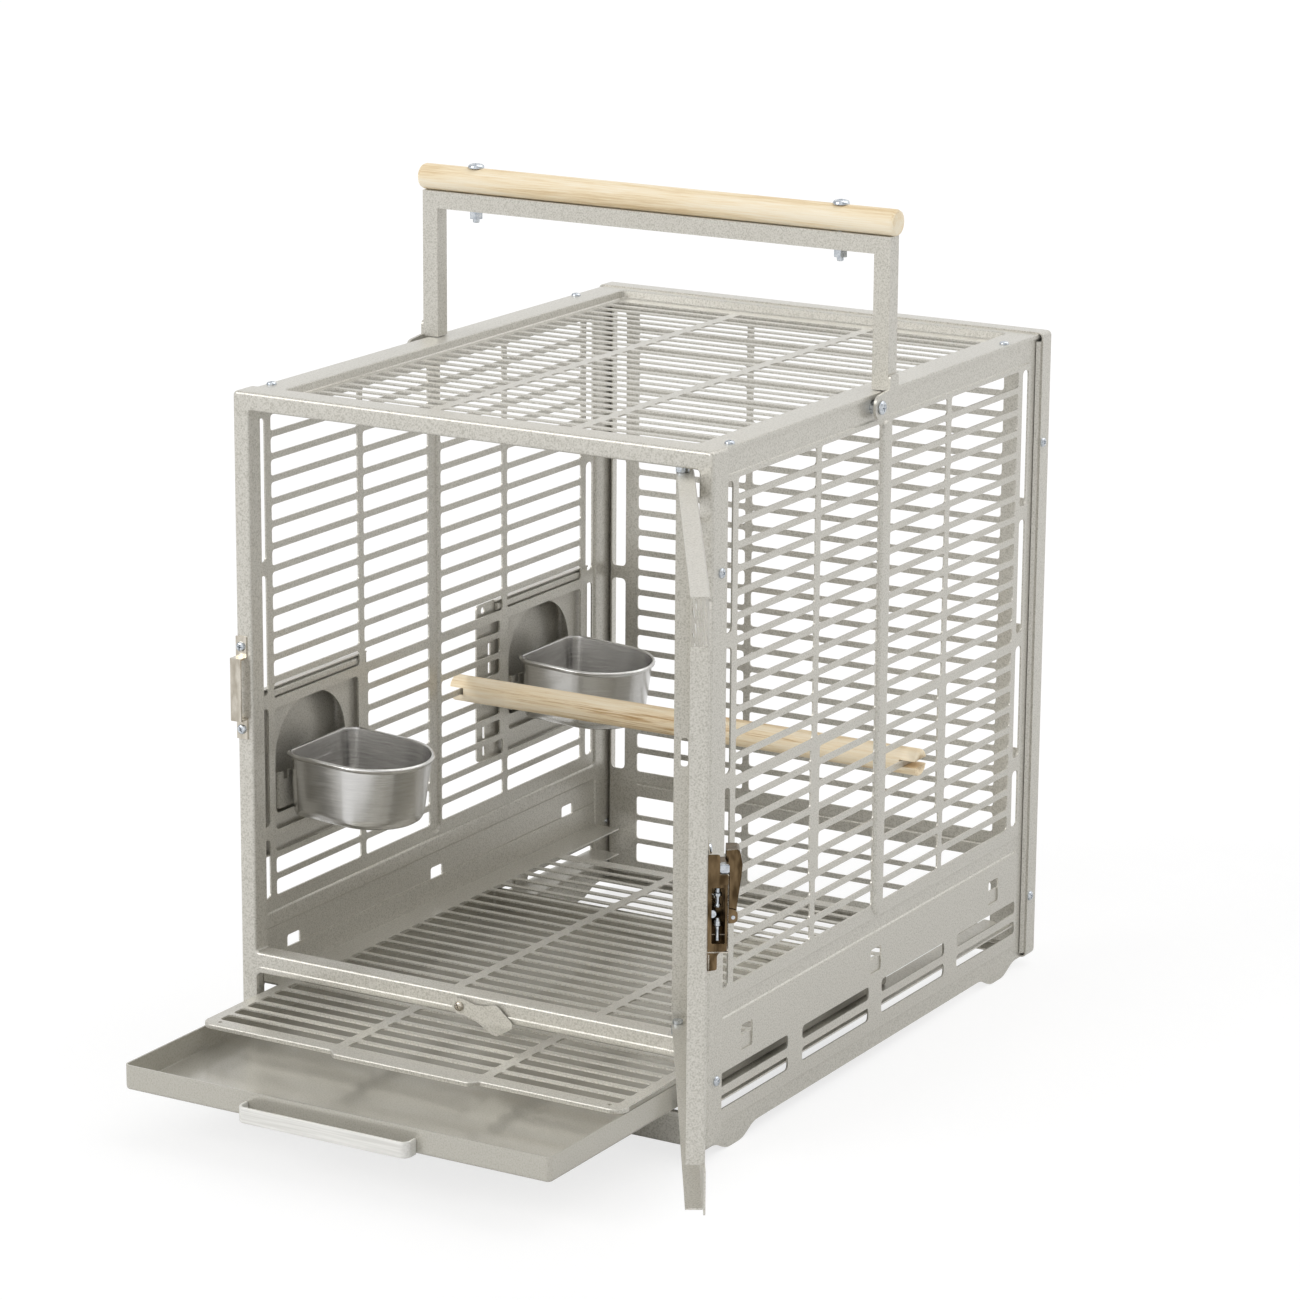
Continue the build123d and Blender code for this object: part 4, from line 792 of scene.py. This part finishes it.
def latch_lever():
    """Lever of the latch: a channel with shouldered cheeks, on its barrel between the ears."""
    skin = Skin(latch_end)
    cheeks = (-164.0, -150.0)
    outer = [(17.2, -7.0), (17.8, 0.0), (19.2, 10.0), (20.6, 20.0), (21.3, 28.0), (20.3, 33.5),
             (19.4, 36.4), (18.2, 37.4)]
    inner = [(11.4, 37.4), (11.2, 27.0), (13.6, 24.6), (13.4, -7.0)]
    radii = [1.6] + [0.0] * 7 + [0.8, 1.6, 1.6, 1.6]
    for x in cheeks:
        skin.region(x, rounded(outer + inner, radii, 5))
    skin.wall([(outer[1:] + inner[:1], x) for x in cheeks], False)
    way = door_way(-1, 0) + Vector((0, 0, 0.01))
    lever = skin.piece("latch_lever_stamping", way, 0.7, SMOOTH_STAMPED, rim=True)
    rings = [(0.0, 0.0), (0.0, 2.0), (0.4, 2.4), (13.0, 2.4), (13.4, 2.0), (13.4, 0.0)]
    axis = (Matrix.Translation(latch_point(-163.7, 15.8, -5.0))
            @ Matrix.Rotation(math.radians(DOOR_ANGLE), 4, "Z")
            @ Matrix.Rotation(math.pi / 2, 4, "Y"))
    joined = bmesh.new()
    joined.from_mesh(lever.data)
    marks = len(joined.faces)
    absorb(joined, lathe("barrel", rings, axis, 24))
    joined.faces.ensure_lookup_table()
    for face in joined.faces[marks:]:
        face.material_index = 1
    joined.to_mesh(lever.data)
    joined.free()
    return settle(lever, "lever", SMOKED, "nickel", "latch_lever", rim=NICKEL)


# Grate, tray and swivel latch


def floor_grate():
    """Slotted floor sheet with a wider tab and a rolled-down lip along its front."""
    low, high = drawn_box("floor_grate")
    tab = 6.0
    front, back = low[1] + tab + 1.2, high[1]
    level = high[2]
    skin = Skin(lying)
    half, steps = 172.0, 6
    outline = [(-half, front), (-61.0, front), (-55.0, front - tab), (55.0, front - tab),
               (61.0, front), (half, front), (half, back), (-half, back)]
    radii = [9.0, 3.0, 3.0, 3.0, 3.0, 9.0, 2.0, 2.0]
    rows = slot_rows(front + 10.8, ROW, 28)
    holes = grid_slots(mirrored([(63.5, 164.0)]) + [(-55.5, 55.5)], rows)
    for x in (-160.0, 160.0):
        holes.append(box_loop((x - 1.6, front + 4.4, x + 1.6, front + 7.6), 1.59))
    edge = rounded(outline, radii, steps)
    skin.region(level, edge, holes)
    front_edge = edge[:6 * (steps + 1)]
    lip = [(0.0, 0.0), (0.6, -0.16), (1.04, -0.6), (1.2, -1.2), (1.2, -3.4)]
    skin.wall([(moved_out(front_edge, by), level + drop) for by, drop in lip], False)
    panel = skin.piece("floor_grate_pressing", Vector((0, 0, 1)))
    return settle(panel, "grate", COAT, "powder_coat", "floor_grate")


def tray():
    """Shallow drawn pan with rounded corners and rolled floor edge."""
    low, high = drawn_box("tray")
    box, floor = (low[0], low[1], high[0], high[1]), low[2]
    skin = Skin(lying)
    skin.step(box, 4.0, [(0.0, high[2]), (0.0, floor + 2.5), (-0.4, floor + 0.9),
                         (-1.2, floor + 0.2), (-2.5, floor)])
    skin.region(floor, box_loop(grow(box, -2.5), 1.5))
    panel = skin.piece("tray_pan", Vector((0, 0, -1)))
    return settle(panel, "drawer", TRAY_COAT, "powder_coat", "tray")


def tray_handle():
    """Grip strip of the tray: satin steel bent to a flat U with wide round ends."""
    low, high = drawn_box("tray_handle")
    half, wall, face = 69.0, high[1], low[1]
    path = [(-half, wall), (-half, face), (half, face), (half, wall)]
    line = [(x - 1.0, y) for x, y in rounded(path, [0.0, 10.5, 10.5, 0.0], 8)]
    skin = Skin(lying)
    skin.wall([(line, z) for z in (low[2] + 0.6, high[2] + 1.0)], False)
    strip = skin.piece("tray_handle_strip", Vector((0, -1, 0)), 2.0)
    edge = strip.modifiers.new("edge", "BEVEL")
    edge.width, edge.segments, edge.angle_limit = 0.5 * MM, 3, math.radians(60)
    strip.modifiers.move(1, 0)
    return settle(applied(strip), "drawer", SATIN, "powder_coat", "tray_handle")


def swivel_paddle():
    """Stamped paddle with a round boss, a waist and a pointed blade."""
    low, high = drawn_box("swivel_latch")
    pivot = Vector((SWIVEL[0], 0.0, SWIVEL[1]))
    corners = [(-6.0, 1.5), (-3.5, 5.6), (3.6, 5.6), (13.4, 3.2), (21.5, 3.4), (29.2, 6.0),
               (33.0, 4.2), (44.6, -6.0), (43.8, -9.2), (30.6, -17.0), (26.5, -16.4),
               (14.4, -9.4), (4.0, -6.2), (-3.2, -5.9), (-6.2, -2.0)]
    radii = [3.0, 3.0, 4.0, 14.0, 14.0, 2.2, 3.0, 2.6, 3.0, 2.4, 3.0, 12.0, 6.0, 3.0, 3.0]
    skin = Skin(lambda x, z, y: pivot + Vector((x, y, z)))
    front, bevel = low[1], 0.35
    edge = rounded(corners, radii)
    shoulder = [(x * 0.985 + 0.3, z * 0.96) for x, z in edge]
    skin.wall([(edge, front + bevel), (shoulder, front)])
    skin.region(front, shoulder)
    paddle = skin.piece("swivel_latch_paddle", Vector((0, -1, 0)), high[1] - low[1] - bevel)
    return settle(paddle, "swivel", COAT, "powder_coat", "swivel_latch")


# Feeders


def feeder_plate(place):
    """Plate round a feeder's arched window: the drawing's plate with a wider arch. The front
    one's free end is trimmed behind the front stile."""
    node = frame["nodes"]["feeder_plate_" + place]
    shape = node.data.copy()
    shape.transform(node.matrix_world)
    piece = bpy.data.objects.new("feeder_plate_%s_pressing" % place, shape)
    bpy.context.scene.collection.objects.link(piece)
    low, high = drawn_box("feeder_plate_" + place)
    left, right = FEEDERS[place] - 47.0, FEEDERS[place] + 42.5
    sill, crown, past, trim = 178.0, 258.5, 5.0, 5.5
    through = (-197.0, -192.6)
    arch = rounded([(left, sill), (right, sill), (right, crown), (left, crown)],
                   [4.0, 4.0, 41.0, 46.0], 12)
    end = box_loop((low[1] - past, low[2] - past, low[1] + trim, high[2] + past), 0.02)
    for outline in (arch, end) if place == "front" else (arch,):
        mesh = bmesh.new()
        add_prism(mesh, [[(x, y, z) for y, z in outline] for x in through])
        cut_out(piece, solid_object("window", mesh))
    return settle(piece, "cage", COAT, "powder_coat", "feeder_plate_" + place)


def feeder_bar(place):
    """Rolled bar along the top of a feeder's plate, under its folded edge."""
    low, high = drawn_box("feeder_plate_" + place)
    mesh = bmesh.new()
    section = rounded([(-193.4, 266.9), (-190.7, 266.9), (-190.7, 272.2), (-193.4, 272.2)],
                      [0.3, 1.3, 1.3, 0.3])
    add_prism(mesh, [[(x, y, z) for x, z in section] for y in (low[1] + 26.0, high[1] - 5.0)])
    bar = applied(solid_object("feeder_bar_" + place, mesh))
    return settle(bar, "cage", COAT, "powder_coat")


def cup_loop(inset, steps=24):
    """Plan of a cup: flat side with round corners, straight sides and a half-round end."""
    half, reach = 42.6 - inset, 91.5 - inset
    corner = max(11.0 - inset, 1.5)
    centre = reach - half
    loop = []
    for k in range(steps + 1):
        turn = math.pi * (k / steps - 0.5)
        loop.append((centre + half * math.cos(turn), half * math.sin(turn)))
    turns = [math.pi / 2 * k / 6 for k in range(7)]
    loop += [(inset + corner - corner * math.sin(turn), half - corner + corner * math.cos(turn))
             for turn in turns]
    loop += [(inset + corner - corner * math.cos(turn), -half + corner - corner * math.sin(turn))
             for turn in turns]
    return loop


def cup(place):
    """Drawn steel cup with a rolled rim and the strip that hooks on its bracket."""
    turn = Matrix.Rotation(math.radians(3.0), 4, "Y")
    spot = Matrix.Translation((-189.0, FEEDERS[place], 224.0)) @ turn
    outside = [(12.0, -49.0), (8.0, -48.6), (5.6, -47.0), (4.2, -44.2), (3.7, -41.0),
               (0.3, -4.2), (-0.9, -3.4), (-1.8, -2.4), (-2.1, -1.2), (-1.6, -0.3), (-0.6, 0.1),
               (0.4, -0.3), (0.8, -1.4)]
    inside = [(4.5, -41.0), (5.0, -43.8), (6.4, -46.4), (8.6, -47.8), (12.4, -48.2)]
    mesh = bmesh.new()
    add_prism(mesh, [[spot @ Vector((x, y, level)) for x, y in cup_loop(inset)]
                     for inset, level in outside + inside])
    hook = [(2.5, -14.0), (-5.4, -14.0), (-5.4, -23.0), (-4.4, -23.0), (-4.4, -15.0), (2.5, -15.0)]
    add_prism(mesh, [[spot @ Vector((x, y, z)) for x, z in hook] for y in (-16.0, 16.0)])
    piece = applied(solid_object("cup_%s_bowl" % place, mesh), SMOOTH_TURNED)
    return settle(piece, "seed_cup_" + place, STAINLESS, "stainless", "cup_" + place)


# Screws, grip and perch


def cross_cutter(place, width, reach, low, high):
    """A tapered cross-shaped plug that cuts a screwdriver's recess."""
    mesh = bmesh.new()
    cross = []
    for quarter in range(4):
        turn = quarter * math.pi / 2
        for far, side in ((reach, -width), (reach, width), (width, width)):
            cross.append((far * math.cos(turn) - side * math.sin(turn),
                          far * math.sin(turn) + side * math.cos(turn)))
    add_prism(mesh, [[place @ Vector((x * taper, y * taper, z)) for x, y in cross]
                     for taper, z in ((0.45, low), (1.0, high))])
    return solid_object("recess", mesh)


def screw_set(node, body, seats, sizes, shank, finish=ZINC):
    """Cross-recess pan-head screws on their seats, each turned differently."""
    head_r, head, shank_r = sizes
    rings = [(-shank, 0.0), (-shank, shank_r - 0.4), (0.6 - shank, shank_r), (0.0, shank_r),
             (0.0, head_r), (head * 0.28, head_r), (head * 0.58, head_r * 0.94),
             (head * 0.82, head_r * 0.78), (head * 0.96, head_r * 0.5), (head, 0.0)]
    mesh = bmesh.new()
    for count, (seat, outward) in enumerate(seats):
        facing = Vector(outward).to_track_quat("Z", "Y").to_matrix().to_4x4()
        place = Matrix.Translation(seat) @ facing @ Matrix.Rotation(0.4 + 1.1 * count, 4, "Z")
        screw = lathe("screw", rings, place, 28)
        plug = cross_cutter(place, head_r * 0.13, head_r * 0.62, head * 0.25, head * 1.2)
        cut_out(screw, plug, SMOOTH_TURNED)
        absorb(mesh, screw)
    piece = applied(mesh_object(node + "_heads", mesh), SMOOTH_TURNED)
    return settle(piece, body, finish, "zinc", node)


def fasteners():
    """All screws and bolts of the cage, at the drawing's places."""
    sides = (-1, 1)
    for node, y in (("frame_screws", -244.5), ("back_screws", 244.5)):
        seats = [((side * HALF, y, z), (side, 0, 0)) for side in sides for z in (57.2, 414.3)]
        screw_set(node, "cage", seats, PANEL_SCREW, 7.0)
    seats = [((side * 185.0, y, 497.0), (0, 0, 1)) for side in sides for y in (-220.5, 191.5)]
    screw_set("top_screws", "cage", seats, PANEL_SCREW, 7.0)
    seats = [((-188.5, FRONT - 1.2, z), (0, -1, 0)) for z in (253.75, 314.25)]
    screw_set("keeper_screws", "cage", seats, PANEL_SCREW, 3.4)
    out = door_way(0, -1)
    seats = [(latch_point(x, 1.3, up), out) for x in (-167.8, -146.2) for up in (-32.25, 32.25)]
    screw_set("latch_screws", "door", seats, LATCH_SCREW, 5.6)
    seats = [((SWIVEL[0], -259.0, SWIVEL[1]), (0, -1, 0))]
    screw_set("swivel_screw", "cage", seats, PANEL_SCREW, 7.0, NICKEL)
    seats = [((x, -5.1, 625.3), (0, 0, 1)) for x in (-151.3, 151.3)]
    screw_set("grip_bolts", "handle", seats, GRIP_BOLT, 40.3)
    seats = [((side * 196.3, -24.1, 488.0), (side, 0, 0)) for side in sides]
    screw_set("handle_pivot_screws", "cage", seats, PIVOT_BOLT, 13.7)


def dowel(node, name, ends):
    """A wooden rod in a solid's place, and its middle. Its ends are rounded through steps, each
    the distance in and how much smaller the radius is there."""
    low, high = drawn_box(node)
    radius = (high[2] - low[2]) / 2
    length = high[0] - low[0]
    rings = [(0.0, 0.0)] + [(along, radius - less) for along, less in ends]
    rings += [(length - along, r) for along, r in reversed(rings)]
    middle = (low + high) / 2
    return lathe(name, rings, along_x(low[0], middle[1], middle[2])), middle


def grip():
    """Wooden grip with sanded, rounded ends."""
    piece, _ = dowel("handle_grip", "handle_grip_dowel", [(0.0, 3.0), (0.9, 1.0), (3.0, 0.0)])
    return settle(applied(piece), "handle", GRIP_PINE, "grip_wood", "handle_grip")


def perch():
    """Wooden perch whose ends are notched over the grille bars."""
    piece, middle = dowel("perch", "perch_dowel", [(0.0, 1.4), (0.5, 0.4), (1.4, 0.0)])
    notch, deep = 187.3, 17.7
    for side in (-1, 1):
        cutter = bmesh.new()
        bmesh.ops.create_cube(cutter, size=1.0)
        shape = Matrix.Diagonal((deep * MM, 40.0 * MM, 5.2 * MM, 1.0))
        place = Matrix.Translation(metres((side * (notch + deep / 2), middle[1], middle[2])))
        bmesh.ops.transform(cutter, matrix=place @ shape, verts=cutter.verts)
        cut_out(piece, mesh_object("notch", cutter))
    return settle(piece, "perch_bar", PERCH_PINE, "perch_wood", "perch")


# The object


def dress():
    """Makes the pieces and gives every other node its finish."""
    front_frame()
    side_panel(1)
    side_panel(-1)
    back_panel()
    top_panel()
    door_panel()
    floor_grate()
    tray()
    tray_handle()
    swivel_paddle()
    for place in FEEDERS:
        feeder_plate(place)
    for place in FEEDERS:
        feeder_bar(place)
    latch_housing()
    latch_spindle()
    latch_lever()
    fasteners()
    grip()
    perch()
    for place in FEEDERS:
        cup(place)
    for row in frame["record"]["subparts"]:
        node = frame["nodes"].get(row["node"])
        if node is not None:
            node.data.materials.clear()
            node.data.materials.append(FINISHES[row["material_slot"]])


# Studio: colours, the floor paper's glow and that glow's share of what the camera sees of it, and
# how bright the room is to all but the camera, clear pieces and mirrors
WHITE = [1.0, 1.0, 1.0, 1.0]
PAPER = [0.95, 0.95, 0.95, 1.0]
PAPER_GLOW = 1.08
GLOW_SHARE = 0.70
ROOM_LEVEL = 0.54

# How bright the studio's walls are as metal mirrors them, all the way round from the front,
# past the left, the back and the right: white screens with darker gaps between them
SOFT_BOXES = [(0.0, 1.15), (0.10, 1.10), (0.17, 0.55), (0.26, 0.75), (0.38, 1.0), (0.60, 1.0),
              (0.72, 0.85), (0.80, 0.55), (0.87, 0.75), (0.93, 1.2), (1.0, 1.15)]

# Lamps: direction toward each, strength, and how wide it looks in degrees
LAMPS = {"key": ((-0.42, -0.70, 0.50), 1.25, 35.0), "overhead": ((0.40, 0.50, 1.0), 0.95, 60.0)}


def studio_floor():
    """White sweep: it keeps the object's shadow and reads as white to the camera."""
    mesh = bmesh.new()
    bmesh.ops.create_grid(mesh, x_segments=1, y_segments=1, size=30.0)
    floor = mesh_object("studio_floor", mesh)
    material, tree = new_material("matt_white_paper")
    paper = add(tree, "BsdfDiffuse", {"Color": PAPER})
    glow = add(tree, "Emission", {"Color": WHITE, "Strength": PAPER_GLOW})
    lit = add(tree, "MixShader", {0: GLOW_SHARE}, {1: paper.outputs[0], 2: glow.outputs[0]})
    path = add(tree, "LightPath")
    mix = add(tree, "MixShader", links={0: path.outputs["Is Camera Ray"], 1: paper.outputs[0],
                                        2: lit.outputs[0]})
    add(tree, "OutputMaterial", links={"Surface": mix.outputs[0]})
    floor.data.materials.append(material)


def studio_light():
    """An even white surround, a soft key from the front left and a soft light from above."""
    world = bpy.data.worlds.new("studio")
    bpy.context.scene.world = world
    world.use_nodes = True
    tree = world.node_tree
    tree.nodes.clear()
    path = add(tree, "LightPath")
    plain = add(tree, "Math", links={0: path.outputs["Is Camera Ray"],
                                     1: path.outputs["Is Transmission Ray"]}, operation="MAXIMUM")
    level = add(tree, "MapRange", {"To Min": ROOM_LEVEL, "To Max": 1.0},
                {"Value": plain.outputs[0]})
    toward = add(tree, "SeparateXYZ", links={0: add(tree, "TexCoord").outputs["Generated"]})
    turn = add(tree, "Math", links={0: toward.outputs["X"], 1: toward.outputs["Y"]},
               operation="ARCTAN2")
    round_room = add(tree, "MapRange", {"From Min": -math.pi, "From Max": math.pi},
                     {"Value": turn.outputs[0]})
    boxes = ramp(tree, round_room.outputs[0], SOFT_BOXES)
    mirror = add(tree, "Mix", links={"Factor": path.outputs["Is Glossy Ray"],
                                     "A": level.outputs[0], "B": boxes}, data_type="FLOAT")
    sky = add(tree, "Background", {"Color": WHITE}, {"Strength": mirror.outputs[0]})
    add(tree, "OutputWorld", links={"Surface": sky.outputs[0]})
    for name, (direction, strength, spread) in LAMPS.items():
        lamp = bpy.data.lights.new(name, "SUN")
        lamp.energy = strength
        lamp.angle = math.radians(spread)
        obj = bpy.data.objects.new(name, lamp)
        obj.rotation_euler = Vector(direction).to_track_quat("Z", "Y").to_euler()
        bpy.context.scene.collection.objects.link(obj)


def camera():
    """Camera at the photograph's viewing angle, for a square frame."""
    azimuth, elevation, roll = (math.radians(a) for a in (30.318, 14.673, 0.396))
    target, distance = metres((8.384, -21.5, 286.446)), 3.39314
    lens, film = 128.69, 36.0
    back = Vector((math.sin(azimuth) * math.cos(elevation),
                   -math.cos(azimuth) * math.cos(elevation), math.sin(elevation)))
    right = Vector((0, 0, 1)).cross(back).normalized()
    up = back.cross(right)
    right, up = (right * math.cos(roll) + up * math.sin(roll),
                 up * math.cos(roll) - right * math.sin(roll))
    data = bpy.data.cameras.new("camera")
    data.lens, data.sensor_width, data.sensor_fit = lens, film, "HORIZONTAL"
    obj = bpy.data.objects.new("camera", data)
    turn = Matrix((right, up, back)).transposed().to_4x4()
    obj.matrix_world = Matrix.Translation(target + back * distance) @ turn
    bpy.context.scene.collection.objects.link(obj)
    bpy.context.scene.camera = obj


camera()
dress()
studio_floor()
studio_light()
bpy.context.scene.view_settings.view_transform = "Standard"
